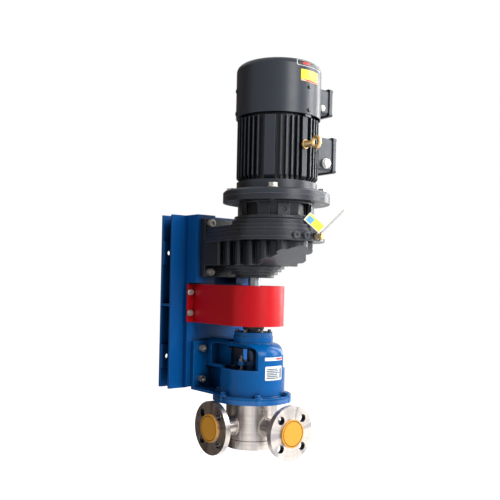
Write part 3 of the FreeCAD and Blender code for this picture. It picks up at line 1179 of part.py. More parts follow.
def rotor_space(middle):
    """The gap between two rotor teeth: the idler's conjugate flanks, then a slot to the outside."""
    pitch_r = PUMP_MODULE * ROTOR_TEETH / 2
    tip_r = pitch_r - PUMP_ADDENDUM * PUMP_MODULE
    slot_r = pitch_r + 0.6 * PUMP_MODULE
    steps = 3
    radii = [tip_r - 2] + [tip_r + (slot_r - tip_r) * i / steps for i in range(steps + 1)]
    halves = [tooth_half_angle(r, PUMP_MODULE, ROTOR_TEETH, PUMP_PRESSURE_ANGLE, -PUMP_BACKLASH) for r in radii]
    radii.append(ROTOR_OUTER_R + 2)
    halves.append(halves[-1] * slot_r / (ROTOR_OUTER_R + 2))
    left = [(r, middle + h) for r, h in zip(radii, halves)]
    right = [(r, middle - h) for r, h in zip(reversed(radii), reversed(halves))]
    return [(r * math.cos(a), PUMP_Y + r * math.sin(a)) for r, a in left + right]


def outer_rotor():
    """A disc that carries the rotor teeth, open to the outside between them."""
    disc_bottom = ROTOR_TOP - ROTOR_DISC
    teeth_bottom = PUMP_BODY_BOTTOM + CLEAR
    tip_r = PUMP_MODULE * (ROTOR_TEETH / 2 - PUMP_ADDENDUM)
    crown = ring(ROTOR_OUTER_R, tip_r, teeth_bottom, disc_bottom, 0, PUMP_Y)
    pitch = 2 * math.pi / ROTOR_TEETH
    spaces = [prism(rotor_space(IDLER_DIRECTION + i * pitch), teeth_bottom - 1, disc_bottom)
              for i in range(ROTOR_TEETH)]
    disc = ring(ROTOR_OUTER_R, PUMP_SHAFT_R, disc_bottom, ROTOR_TOP, 0, PUMP_Y)
    return crown.cut(Part.makeCompound(spaces)).fuse(disc).removeSplitter()


def idler_gear():
    top = ROTOR_TOP - ROTOR_DISC - CLEAR
    bottom = PUMP_BODY_BOTTOM + CLEAR
    return spur_gear(PUMP_MODULE, IDLER_TEETH, PUMP_PRESSURE_ANGLE, (IDLER_X, IDLER_Y), IDLER_DIRECTION,
                     bottom, top, IDLER_PIN_R + RUN, PUMP_ADDENDUM, PUMP_DEDENDUM, PUMP_BACKLASH, 3)


def idler_pin():
    return post(IDLER_PIN_R, PUMP_BOTTOM + 6, ROTOR_TOP - ROTOR_DISC - CLEAR - 1, IDLER_X, IDLER_Y)


def end_bolt_places():
    return circle_points(6, END_BOLT_CIRCLE_R, 0, 0, PUMP_Y)


def gauge_plug_seat():
    x, y = polar(PUMP_BODY_R + 2, GAUGE_PLUG_ANGLE, 0, PUMP_Y)
    return V(x, y, GAUGE_PLUG_Z)


def front_cover():
    """The end cover, with the crescent that fills the gap between rotor and idler."""
    plate = post(PUMP_LOWER_R, PUMP_BOTTOM, PUMP_BODY_BOTTOM, 0, PUMP_Y)
    top = ROTOR_TOP - ROTOR_DISC - CLEAR
    outer_r = PUMP_MODULE * (ROTOR_TEETH / 2 - PUMP_ADDENDUM) - CLEAR
    inner_r = PUMP_MODULE * (IDLER_TEETH / 2 + PUMP_ADDENDUM) + CLEAR
    moon = post(outer_r, PUMP_BODY_BOTTOM - 1, top, 0, PUMP_Y)
    moon = moon.cut(post(inner_r, PUMP_BODY_BOTTOM - 2, top + 1, IDLER_X, IDLER_Y))
    half = box(CRESCENT_END, 2 * outer_r, -2 * outer_r, 2 * outer_r, PUMP_BODY_BOTTOM - 2, top + 1)
    half.rotate(V(0, 0, 0), UP, math.degrees(IDLER_DIRECTION))
    half.translate(V(0, PUMP_Y, 0))
    tools = [post(IDLER_PIN_R, PUMP_BOTTOM + 6, PUMP_BODY_BOTTOM + 1, IDLER_X, IDLER_Y)]
    for x, y in end_bolt_places():
        tools.append(post(END_BOLT / 2 + HOLE_SLACK, PUMP_BOTTOM - 1, PUMP_BODY_BOTTOM + 1, x, y))
        tools.append(post(0.75 * END_BOLT + 0.5, PUMP_BOTTOM - 1, PUMP_BOTTOM + END_BOLT, x, y))
    drain = post(9, PUMP_BOTTOM - 1, PUMP_BOTTOM, 0, PUMP_Y)
    return cut(fuse([plate, moon.cut(half), drain]), tools)


def end_cover_screws():
    """Socket screws sunk into the end cover, its middle plug, and the gauge plug of the pump body."""
    screw = socket_screw(END_BOLT, PUMP_BODY_BOTTOM - PUMP_BOTTOM + 2)
    screws = [aimed(screw, V(x, y, PUMP_BOTTOM + END_BOLT), DOWN) for x, y in end_bolt_places()]
    plug = aimed(hexagon(13, 0, 4), V(0, PUMP_Y, PUMP_BOTTOM - 1), DOWN)
    gauge = aimed(hexagon(12, 0, 6), gauge_plug_seat(), outward(GAUGE_PLUG_ANGLE))
    return Part.makeCompound(screws + [plug, gauge])


def port_cap(direction, reach):
    """A push-in plastic cover for a port."""
    face = V(0, PUMP_Y, PORT_Z) + direction * reach
    disc = rod(CAP_R, face, face + direction * CAP_THICK)
    groove = rod(CAP_R - 3, face + direction * (CAP_THICK - 0.8), face + direction * (CAP_THICK + 1))
    inner = rod(CAP_R - 5, face + direction * (CAP_THICK - 1), face + direction * (CAP_THICK + 1))
    plug = rod(PORT_BORE_R - CLEAR, face - direction * CAP_PLUG_LENGTH, face + direction)
    return disc.cut(groove.cut(inner)).fuse(plug).removeSplitter()


def hang_tag():
    """A card that leans against the gearbox cover, its lower corner at the tie."""
    card = box(-TAG_WIDTH / 2, TAG_WIDTH / 2, -TAG_LENGTH / 2, TAG_LENGTH / 2, 0, TAG_THICK)
    card.rotate(V(0, 0, 0), UP, TAG_TURN)
    card.rotate(V(0, 0, 0), V(1, 0, 0), 90 - TAG_LEAN)
    card.rotate(V(0, 0, 0), UP, -TAG_FACING)
    x, y = polar(TAG_REACH, TAG_ANGLE, 0, MOTOR_Y)
    card.translate(V(x, y, TAG_Z))
    return card


def tag_tie():
    """The loop round the breather's neck, its lock and the long free tail."""
    loop = ring(6.6, 4.3, 5, 7, 0, 0)
    lock = box(-3, 3, 6, 12, 5, 8.5)
    tail = box(-TIE_WIDTH / 2, TIE_WIDTH / 2, 11, 11 + TIE_TAIL, 6, 7.4)
    tail.rotate(V(0, 11, 6), V(1, 0, 0), 8)
    tie = fuse([loop, lock, tail])
    tie.rotate(V(0, 0, 0), UP, TIE_LEAN)
    return aimed(tie, rim_seat(BREATHER_ANGLE), outward(BREATHER_ANGLE))


def build():
    pinion, wheel, lay_pinion, output_wheel = gear_train()
    fan_box = terminal_box(FAN_BOX, COWL_R - 12).cut(post(COWL_R, COWL_BOTTOM, COWL_TOP, 0, MOTOR_Y))
    main_box = terminal_box(MAIN_BOX, FIN_TIP_R - 3)
    return {
        "left_channel": frame_channel(-1),
        "right_channel": frame_channel(1),
        "mounting_plate": mounting_plate(),
        "pedestal_legs": Part.makeCompound([pedestal_leg(-1), pedestal_leg(1)]),
        "gearbox_case": gearbox_case(),
        "gearbox_cover": gearbox_cover(),
        "output_bearing_cap": output_bearing_cap(),
        "gearbox_plugs": gearbox_plugs(),
        "breather_plugs": breather_plugs(),
        "gearbox_foot_bolts": gearbox_foot_bolts(),
        "gearbox_bearings": gearbox_bearings(),
        "first_stage_wheel": wheel,
        "lay_shaft": lay_shaft(lay_pinion),
        "output_wheel": output_wheel,
        "output_shaft": output_shaft(),
        "motor_adapter": motor_adapter(),
        "motor_flange_bolts": motor_flange_bolts(),
        "motor_flange_shield": motor_flange_shield(),
        "motor_frame": motor_frame(),
        "motor_stator": motor_stator(),
        "motor_rotor": ring(ROTOR_R, MOTOR_SHAFT_R, CORE_BOTTOM, CORE_TOP, 0, MOTOR_Y),
        "motor_shaft": motor_shaft(pinion),
        "motor_bearings": motor_bearings(),
        "motor_rear_shield": rear_shield(),
        "fan_cowl": fan_cowl(),
        "cover_screws": cover_screws(),
        "cooling_fan": cooling_fan(),
        "fan_motor": fan_motor(),
        "lifting_eyebolt": lifting_eyebolt(),
        "terminal_box": cut_screws(main_box, MAIN_BOX),
        "terminal_box_lid": terminal_box_lid(MAIN_BOX),
        "fan_terminal_box": cut_screws(fan_box, FAN_BOX),
        "fan_terminal_box_lid": terminal_box_lid(FAN_BOX),
        "cable_entry_plugs": cable_entry_plugs(),
        "hang_tag": hang_tag(),
        "tag_tie": tag_tie(),
        "upper_coupling_hub": upper_coupling_hub(),
        "lower_coupling_hub": lower_coupling_hub(),
        "coupling_pins": coupling_pins(),
        "coupling_bushes": coupling_bushes(),
        "coupling_guard": coupling_guard(),
        "guard_screws": guard_screws(),
        "pump_bracket": pump_bracket(),
        "bracket_foot_bolts": bracket_foot_bolts(),
        "bearing_cover": bearing_cover(),
        "bearing_cover_screws": bearing_cover_screws(),
        "pump_bearings": pump_bearings(),
        "pump_shaft": pump_shaft(),
        "gland_follower": gland_follower(),
        "gland_studs": gland_studs(),
        "shaft_packing": shaft_packing(),
        "pump_body": pump_body(),
        "bracket_flange_bolts": bracket_flange_bolts(),
        "outer_rotor": outer_rotor(),
        "idler_gear": idler_gear(),
        "idler_pin": idler_pin(),
        "front_cover": front_cover(),
        "end_cover_screws": end_cover_screws(),
        "left_port_cap": port_cap(LEFT, LEFT_PORT_REACH),
        "front_port_cap": port_cap(FRONT, FRONT_PORT_REACH),
    }


def main():
    os.makedirs("parts", exist_ok=True)
    shapes = build()
    for node, shape in shapes.items():
        shape.exportStep("parts/" + node + ".step")
    print(len(shapes), "nodes")


main()
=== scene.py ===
"""Finishes, labels and studio for the gear oil transfer pump on its wall frame.

Metres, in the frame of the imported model: +Z up along the shafts, -Y to the front, wall at y = 0.
Angles round a shaft start at the front and grow towards the left.
"""

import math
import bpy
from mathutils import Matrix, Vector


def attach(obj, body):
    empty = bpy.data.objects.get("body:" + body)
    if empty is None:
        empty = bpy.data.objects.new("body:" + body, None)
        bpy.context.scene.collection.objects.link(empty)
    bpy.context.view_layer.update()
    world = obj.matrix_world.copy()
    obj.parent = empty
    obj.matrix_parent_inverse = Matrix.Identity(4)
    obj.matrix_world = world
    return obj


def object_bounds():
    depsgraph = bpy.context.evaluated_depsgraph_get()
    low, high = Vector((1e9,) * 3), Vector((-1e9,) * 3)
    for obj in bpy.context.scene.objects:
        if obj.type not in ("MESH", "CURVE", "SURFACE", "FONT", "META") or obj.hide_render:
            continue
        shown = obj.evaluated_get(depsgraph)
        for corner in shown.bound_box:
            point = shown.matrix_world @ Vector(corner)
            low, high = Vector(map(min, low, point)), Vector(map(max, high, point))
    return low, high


bl_info = {
    "name": "Gear oil transfer pump",
    "version": (1, 0, 0),
    "blender": (4, 5, 0),
    "location": "3D View > Sidebar > Pump",
    "description": "Dresses the packed pump with paint, bare metal, labels and a studio",
    "category": "Object",
}

import bmesh
import bpy
from bpy.props import FloatProperty, FloatVectorProperty, PointerProperty
from mathutils import Matrix, Vector

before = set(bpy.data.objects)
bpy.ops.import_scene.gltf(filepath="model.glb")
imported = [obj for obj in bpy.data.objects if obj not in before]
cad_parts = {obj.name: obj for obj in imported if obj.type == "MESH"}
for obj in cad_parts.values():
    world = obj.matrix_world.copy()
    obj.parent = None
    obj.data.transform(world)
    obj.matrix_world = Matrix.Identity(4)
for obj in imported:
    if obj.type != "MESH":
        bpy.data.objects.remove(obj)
CAD_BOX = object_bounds()

MM = 0.001
UP = (0, 0, 1)

# Axes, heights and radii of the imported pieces
PUMP_Y = -0.224
MOTOR_Y = -0.299
PUMP_AXIS = (0, PUMP_Y, 0)
MOTOR_AXIS = (0, MOTOR_Y, 0)
PORT_Z = -0.2785
PORT_AXIS = (0, PUMP_Y, PORT_Z)
COWL_R = 0.099
COWL_TOP = 0.565
COWL_ROUND = 0.016
BRACKET_R = 0.0785
BRACKET_INSIDE_R = 0.0705
LANTERN_TOP = -0.0935
BRACKET_FLANGE_Z = -0.2222
FLANGE_REACH = 0.0985
BODY_REACH = 0.0625
COVER_SEAM_Z = -0.311
SEAM_WIDTH = 0.0014
PORT_FACE_R = 0.034
PORT_RIM_R = 0.061
PORT_REACH = 0.09
PORT_FLANGE_REACH = 0.065
ADAPTER_RECESS_R = 0.0765
CAP_GROOVE_R = 0.0294
CAP_GROOVE_WIDTH = 2.0 * MM

# Weld beads, edges and print
WELD_R = 0.0231
WELD_OUT = 0.0575
WELD_RIPPLES = 40
METAL_EDGE = 0.6 * MM
METAL_STAIN = (0.16, 0.13, 0.10)
PRINT_GAP = 0.02 * MM
PRINT_THICK = 0.1 * MM

# Labels as (left, right, low, high): two angles in degrees and two heights
COWL_LABEL = (10.8, -20.8, 0.5136, 0.5394)
COWL_LABEL_BAND = (10.4, -20.4, 0.5140, 0.5178)
COWL_LABEL_FOOT = (10.2, 3.0, 0.5142, 0.5158)
COWL_STRIP = (17.0, -30.0, 0.5468, 0.5598)
COWL_STRIP_FIELD = (16.0, -29.0, 0.5477, 0.5589)
COWL_STRIP_BAND = (8.0, -3.5, 0.5506, 0.5558)
BRACKET_STRIP = (17.5, -22.5, -0.1205, -0.1125)
BRACKET_STRIP_BAND = (-6.0, -21.5, -0.1185, -0.1145)
NAMEPLATE = (16.5, -22.5, -0.1665, -0.1335)
NAMEPLATE_COLUMN = (-15.5, -19.5, -0.1615, -0.1395)
NAMEPLATE_ROWS = 6
NAMEPLATE_FIRST_ROW = -0.1625
NAMEPLATE_ROW_STEP = 4.2 * MM
NAMEPLATE_ROW_HEIGHT = 2.5 * MM

# Camera, lamps, floor and backdrops, with the backdrops' angles from the camera's side
CAMERA_HEADING = 38.38
CAMERA_ROLL = 1.28
CAMERA_PLACE = (-1.0786, -1.5684, 0.066)
CAMERA_SENSOR = 36
CAMERA_LENS = 51.12
CAMERA_SHIFT = 0.0612
LAMP_TARGET = (0, -0.22, 0.1)
KEY_PLACE = (-0.1, -2.4, 1.1)
KEY_SIZE = (0.9, 1.6)
FILL_PLACE = (1.7, -1.5, 0.9)
FILL_SIZE = (0.8, 1.6)
FLOOR_HALF = 12
FLOOR_LIFT = 0.78
CARD_R = 1.3
CARD_HEIGHT = 1.9
CARD_STEPS = 16
CARD_ABOVE_FLOOR = 0.01
FLAG_ANGLES = (78, 165)
FLAG_INNER_R = 0.3
STRIP_ANGLES = (-132, -121)
STRIP_RAISE = 0.5


def srgb(red, green, blue):
    """Linear values of a colour given as 0 to 255 steps."""
    steps = [c / 255 for c in (red, green, blue)]
    return tuple(c / 12.92 if c <= 0.04045 else ((c + 0.055) / 1.055) ** 2.4 for c in steps)


def colour_property(name, description, default):
    return FloatVectorProperty(name=name, description=description, subtype="COLOR", size=3, min=0, max=1,
                               default=default)


def length_property(name, description, default):
    return FloatProperty(name=name, description=description, unit="LENGTH", subtype="DISTANCE", min=0,
                         default=default)


def level_property(name, description, default, unit="NONE"):
    return FloatProperty(name=name, description=description, unit=unit, min=0, default=default)


class PumpColours(bpy.types.PropertyGroup):
    frame_blue: colour_property("Frame blue", "Paint of the channels, plate and legs", srgb(0, 92, 166))
    bracket_blue: colour_property("Bracket blue", "Paint of the lantern bracket", srgb(0, 92, 160))
    body_grey: colour_property("Body grey", "Paint of the motor", srgb(50, 55, 62))
    casting_grey: colour_property("Casting grey", "Paint of the reducer's castings", srgb(42, 46, 53))
    guard_red: colour_property("Guard red", "Paint of the coupling guard", srgb(204, 0, 18))
    stainless: colour_property("Stainless steel", "Machined pump body and ports", srgb(214, 205, 198))
    cap_yellow: colour_property("Cap yellow", "Plastic port caps", srgb(218, 150, 32))
    label_yellow: colour_property("Label yellow", "Cowl label and hang tag", srgb(244, 222, 10))
    label_red: colour_property("Label red", "Bands on the labels", srgb(216, 36, 34))
    label_white: colour_property("Label white", "Borders of the labels", srgb(214, 214, 214))


class PumpSizes(bpy.types.PropertyGroup):
    edge_round: length_property("Edge rounding", "Rounding of a painted sheet's edge", 0.9 * MM)
    cast_round: length_property("Casting rounding", "Rounding of a casting's edges", 1.7 * MM)
    label_thick: length_property("Label thickness", "Thickness of stickers and plates", 0.3 * MM)
    weld_size: length_property("Weld size", "Radius of the weld beads", 1.6 * MM)


class PumpStudio(bpy.types.PropertyGroup):
    floor_gap: length_property("Floor distance", "Height of the pump's lowest point above the floor", 0.25)
    key_power: level_property("Key lamp", "Power of the lamp at the front", 50, "POWER")
    fill_power: level_property("Fill lamp", "Power of the lamp at the right", 56, "POWER")
    strip_glow: level_property("Strip light", "Brightness of the strip that edges reflect", 14)
    sky: level_property("Sky level", "Brightness of the room around the pump", 0.24)


class NodeMaker:
    """Adds nodes to one tree and wires them by name."""

    def add(self, kind, **settings):
        node = self.tree.nodes.new(kind)
        for key, value in settings.items():
            setattr(node, key, value)
        return node

    def wire(self, value, socket):
        """Give a socket another node's output, as a (node, output) pair, or a number or colour."""
        if isinstance(value, tuple) and isinstance(value[0], bpy.types.Node):
            self.tree.links.new(value[0].outputs[value[1]], socket)
        elif socket.type == "RGBA":
            socket.default_value = (*value, 1)
        else:
            socket.default_value = value


class Shader(NodeMaker):
    """One material round a Principled surface."""

    def __init__(self, name):
        self.material = bpy.data.materials.new(name)
        self.material.use_nodes = True
        self.tree = self.material.node_tree
        self.tree.nodes.clear()
        self.surface = self.add("ShaderNodeBsdfPrincipled")
        out = self.add("ShaderNodeOutputMaterial")
        self.wire((self.surface, "BSDF"), out.inputs["Surface"])

    def group(self, maker, **values):
        """Place a shared effect with its own values."""
        node = self.add("ShaderNodeGroup")
        node.node_tree = effect(maker)
        for key, value in values.items():
            self.wire(value, node.inputs[key.replace("_", " ")])
        return node

    def bump(self, height, strength, distance, normal=None):
        node = self.add("ShaderNodeBump")
        self.wire(strength, node.inputs["Strength"])
        self.wire(distance, node.inputs["Distance"])
        self.wire(height, node.inputs["Height"])
        if normal:
            self.wire(normal, node.inputs["Normal"])
        return (node, 0)

    def mix(self, factor, a, b):
        node = self.add("ShaderNodeMix", data_type="RGBA")
        for value, socket in ((factor, node.inputs[0]), (a, node.inputs[6]), (b, node.inputs[7])):
            self.wire(value, socket)
        return (node, 2)

    def mix_vector(self, factor, a, b):
        node = self.add("ShaderNodeMix", data_type="VECTOR")
        for value, socket in ((factor, node.inputs[0]), (a, node.inputs[4]), (b, node.inputs[5])):
            self.wire(value, socket)
        return (node, 1)

    def finish(self, **values):
        for key, value in values.items():
            self.wire(value, self.surface.inputs[key.replace("_", " ")])
        return self.material


class Effect(NodeMaker):
    """A shared shader node group with named inputs and outputs."""

    def __init__(self, name, inputs, outputs):
        self.tree = bpy.data.node_groups.new(name, "ShaderNodeTree")
        sockets = self.tree.interface
        for label, kind, value in inputs:
            socket = sockets.new_socket(name=label, in_out="INPUT", socket_type="NodeSocket" + kind)
            socket.default_value = (*value, 1) if kind == "Color" else value
        for label, kind in outputs:
            sockets.new_socket(name=label, in_out="OUTPUT", socket_type="NodeSocket" + kind)
        self.inputs = self.add("NodeGroupInput")
        self.outputs = self.add("NodeGroupOutput")

    def given(self, label):
        return (self.inputs, label)

    def send(self, **values):
        for label, value in values.items():
            self.wire(value, self.outputs.inputs[label])
        return self.tree

    def place(self):
        return (self.add("ShaderNodeTexCoord"), "Object")

    def facing(self):
        return (self.add("ShaderNodeNewGeometry"), "Normal")

    def maths(self, operation, first, second=None, third=None, clamp=False):
        node = self.add("ShaderNodeMath", operation=operation, use_clamp=clamp)
        for value, socket in zip((first, second, third), node.inputs):
            if value is not None:
                self.wire(value, socket)
        return (node, 0)

    def vector(self, operation, first, second=None, scale=None):
        node = self.add("ShaderNodeVectorMath", operation=operation)
        self.wire(first, node.inputs[0])
        if second is not None:
            self.wire(second, node.inputs[1])
        if scale is not None:
            self.wire(scale, node.inputs["Scale"])
        return (node, "Value" if operation in ("DOT_PRODUCT", "LENGTH") else "Vector")

    def noise(self, vector, scale, detail=2.0, rough=0.5):
        node = self.add("ShaderNodeTexNoise")
        for name, value in (("Vector", vector), ("Scale", scale), ("Detail", detail), ("Roughness", rough)):
            self.wire(value, node.inputs[name])
        return (node, "Fac")

    def mix(self, factor, a, b, blend="MIX"):
        node = self.add("ShaderNodeMix", data_type="RGBA", blend_type=blend)
        for value, socket in ((factor, node.inputs[0]), (a, node.inputs[6]), (b, node.inputs[7])):
            self.wire(value, socket)
        return (node, 2)

    def split(self, vector):
        node = self.add("ShaderNodeSeparateXYZ")
        self.wire(vector, node.inputs[0])
        return node

    def about(self, centre, axis):
        """Radial vector from an axis, and the distance along it."""
        offset = self.vector("SUBTRACT", self.place(), centre)
        along = self.vector("DOT_PRODUCT", offset, axis)
        return self.vector("SUBTRACT", offset, self.vector("SCALE", axis, scale=along)), along


EFFECTS = {}


def effect(maker):
    """The node group that a maker builds, built once."""
    if maker not in EFFECTS:
        EFFECTS[maker] = maker()
    return EFFECTS[maker]


def round_edges():
    """Normals that round an edge, and a mask of the edge itself."""
    e = Effect("Rounded edges", [("Radius", "Float", 0.001)], [("Normal", "Vector"), ("Edge", "Float")])
    bevel = e.add("ShaderNodeBevel", samples=6)
    e.wire(e.given("Radius"), bevel.inputs["Radius"])
    same = e.vector("DOT_PRODUCT", (bevel, 0), e.facing())
    edge = e.maths("MULTIPLY", e.maths("SUBTRACT", 1.0, same), 6.0, clamp=True)
    return e.send(Normal=(bevel, 0), Edge=edge)


def paint_film():
    """Sprayed paint: slow colour drift, orange peel, settled dust, and lighter edges that are partly rubbed
    paint and partly a painted highlight.
    """
    e = Effect("Paint film",
               [("Colour", "Color", (0.5, 0.5, 0.5)), ("Edge", "Float", 0.0), ("Wear", "Float", 0.3),
                ("Dust", "Float", 0.15), ("Gloss", "Float", 0.3)],
               [("Colour", "Color"), ("Roughness", "Float"), ("Height", "Float")])
    place = e.place()
    drift = e.noise(place, 9.0, 3.0)
    patch = e.noise(place, 55.0, 4.0, 0.6)
    peel = e.noise(place, 420.0, 1.0)
    dark = e.mix(1.0, e.given("Colour"), (0.70, 0.72, 0.76), "MULTIPLY")
    base = e.mix(e.maths("MULTIPLY", drift, 0.75, clamp=True), dark, e.given("Colour"))
    # Lighter edges: partly rubbed paint, partly a painted highlight where rounded edges would catch the
    # light.
    light = e.mix(1.0, e.given("Colour"), (0.16, 0.17, 0.19), "ADD")
    marks_and_sheen = e.maths("MULTIPLY", e.maths("MULTIPLY", e.given("Edge"), e.given("Wear")), patch, clamp=True)
    base = e.mix(marks_and_sheen, base, light)
    upward = e.maths("SUBTRACT", (e.split(e.facing()), "Z"), 0.55, clamp=True)
    dust = e.maths("MULTIPLY", e.maths("MULTIPLY", upward, e.given("Dust")), patch)
    dust = e.maths("MULTIPLY", dust, 3.0, clamp=True)
    rough = e.maths("MULTIPLY_ADD", patch, 0.16, e.given("Gloss"))
    return e.send(Colour=e.mix(dust, base, (0.30, 0.28, 0.25)),
                  Roughness=e.maths("MULTIPLY_ADD", dust, 0.5, rough),
                  Height=e.maths("MULTIPLY_ADD", patch, 0.8, e.maths("MULTIPLY", peel, 0.6)))


def cast_skin():
    """The pebbled skin that sand casting leaves under paint."""
    e = Effect("Cast skin", [("Scale", "Float", 260.0)], [("Height", "Float")])
    place = e.place()
    grain = e.noise(place, e.given("Scale"), 4.0, 0.65)
    return e.send(Height=e.maths("MULTIPLY_ADD", e.noise(place, 38.0, 2.0), 2.2, grain))


def lathe_marks():
    """Fine grooves round a turning axis: they tilt the surface across the groove and shade it in rings. Fan
    is a mask of sectors round the axis, where a reflection is painted.
    """
    e = Effect("Lathe marks",
               [("Normal", "Vector", UP), ("Centre", "Vector", (0, 0, 0)), ("Axis", "Vector", UP),
                ("Tilt", "Float", 0.3), ("Scale", "Float", 2600.0)],
               [("Normal", "Vector"), ("Ring", "Float"), ("Fan", "Float")])
    out, along = e.about(e.given("Centre"), e.given("Axis"))
    spot = e.add("ShaderNodeCombineXYZ")
    e.wire(e.vector("LENGTH", out), spot.inputs[0])
    e.wire(along, spot.inputs[1])
    groove = e.maths("SUBTRACT", e.noise((spot, 0), e.given("Scale"), 1.0), 0.5)
    round_axis = e.vector("NORMALIZE", e.vector("CROSS_PRODUCT", e.given("Axis"), out))
    across = e.vector("CROSS_PRODUCT", round_axis, e.given("Normal"))
    tilt = e.vector("SCALE", across, scale=e.maths("MULTIPLY", groove, e.given("Tilt")))
    # Painted reflection: noise on the direction round the axis picks sectors that are coloured darker.
    sector = e.noise(e.vector("NORMALIZE", out), 2.4, 3.0, 0.6)
    fan = e.maths("MULTIPLY", e.maths("SUBTRACT", sector, 0.46), 6.0, clamp=True)
    return e.send(Normal=e.vector("NORMALIZE", e.vector("ADD", e.given("Normal"), tilt)),
                  Ring=e.noise((spot, 0), 130.0, 2.0), Fan=fan)


def corner_shading():
    """A mask of corners and gaps, where shade is painted into the colour."""
    # Painted shade: ambient occlusion darkens corners and gaps.
    e = Effect("Corner dirt", [("Reach", "Float", 0.06)], [("Mask", "Float")])
    hollow = e.add("ShaderNodeAmbientOcclusion", samples=6)
    e.wire(e.given("Reach"), hollow.inputs["Distance"])
    closed = e.maths("SUBTRACT", 0.78, (hollow, "AO"))
    return e.send(Mask=e.maths("MULTIPLY", closed, 1.7, clamp=True))


def inside_radius():
    """A mask of what lies within a radius of an axis, between two heights."""
    e = Effect("Inside a radius",
               [("Centre", "Vector", (0, 0, 0)), ("Axis", "Vector", UP), ("Radius", "Float", 0.05),
                ("Low", "Float", -1.0), ("High", "Float", 1.0)],
               [("Mask", "Float"), ("Outside", "Float")])
    out, along = e.about(e.given("Centre"), e.given("Axis"))
    within = e.maths("LESS_THAN", e.vector("LENGTH", out), e.given("Radius"))
    above = e.maths("GREATER_THAN", along, e.given("Low"))
    below = e.maths("LESS_THAN", along, e.given("High"))
    mask = e.maths("MULTIPLY", within, e.maths("MULTIPLY", above, below))
    return e.send(Mask=mask, Outside=e.maths("SUBTRACT", 1.0, mask))


def drilled_walls():
    """A mask of what faces an axis sideways in a ring round it: the walls of a flange's bolt holes."""
    e = Effect("Drilled walls",
               [("Centre", "Vector", (0, 0, 0)), ("Axis", "Vector", UP), ("Inner", "Float", 0.034),
                ("Outer", "Float", 0.06), ("Reach", "Float", 0.1)],
               [("Mask", "Float")])
    out, along = e.about(e.given("Centre"), e.given("Axis"))
    reach = e.vector("LENGTH", out)
    ring = e.maths("MULTIPLY", e.maths("GREATER_THAN", reach, e.given("Inner")),
                   e.maths("LESS_THAN", reach, e.given("Outer")))
    ring = e.maths("MULTIPLY", ring, e.maths("GREATER_THAN", along, e.given("Reach")))
    facing = e.maths("ABSOLUTE", e.vector("DOT_PRODUCT", e.facing(), e.given("Axis")))
    return e.send(Mask=e.maths("MULTIPLY", ring, e.maths("LESS_THAN", facing, 0.5)))


def handling_wear():
    """Dull patches, smudges and small stains."""
    e = Effect("Handling wear",
               [("Colour", "Color", (0.6, 0.6, 0.6)), ("Stain", "Color", (0.2, 0.17, 0.13)),
                ("Amount", "Float", 0.3), ("Gloss", "Float", 0.3)],
               [("Colour", "Color"), ("Roughness", "Float"), ("Height", "Float")])
    cloud = e.noise(e.place(), 28.0, 5.0, 0.62)
    speck = e.noise(e.place(), 340.0, 3.0, 0.7)
    mask = e.maths("MULTIPLY", e.maths("SUBTRACT", cloud, 0.48, clamp=True), 4.0, clamp=True)
    mask = e.maths("MULTIPLY", mask, e.given("Amount"))
    rough = e.maths("MULTIPLY_ADD", cloud, 0.22, e.given("Gloss"))
    return e.send(Colour=e.mix(mask, e.given("Colour"), e.given("Stain")),
                  Roughness=e.maths("MULTIPLY_ADD", mask, 0.3, rough), Height=speck)


def shaded(colour, share):
    """A colour darkened to a share of itself."""
    return tuple(c * share for c in colour)


def painted(name, colour, gloss=0.28, shine=0.25, dust=0.15, wear=0.35, cast=0.0, cast_scale=260.0,
            edge=None, reach=0.06, shade=None):
    """Paint over steel sheet, or over a casting when cast is above 0.

    reach is how far a wall casts painted shade onto its neighbour, and shade gives the place inside where
    painted shade darkens the colour.
    """
    s = Shader(name)
    edges = s.group(round_edges, Radius=edge or sizes().edge_round)
    film = s.group(paint_film, Colour=colour, Wear=wear, Dust=dust, Gloss=gloss, Edge=(edges, "Edge"))
    normal = s.bump((film, "Height"), 0.25, 0.0002, (edges, "Normal"))
    if cast:
        skin = s.group(cast_skin, Scale=cast_scale)
        normal = s.bump((skin, "Height"), cast, 0.0006, normal)
    # Painted shade in corners and gaps: the colour darkens there to 0.15 of itself.
    shading = s.group(corner_shading, Reach=reach)
    shown = s.mix((shading, "Mask"), (film, "Colour"), shaded(colour, 0.15))
    # Painted shade inside: where shade gives the place, the colour darkens to 0.06 of itself.
    if shade:
        inside = s.group(inside_radius, **shade)
        shown = s.mix((inside, "Mask"), shown, shaded(colour, 0.06))
    return s.finish(Base_Color=shown, Roughness=(film, "Roughness"), Normal=normal,
                    Specular_IOR_Level=shine)


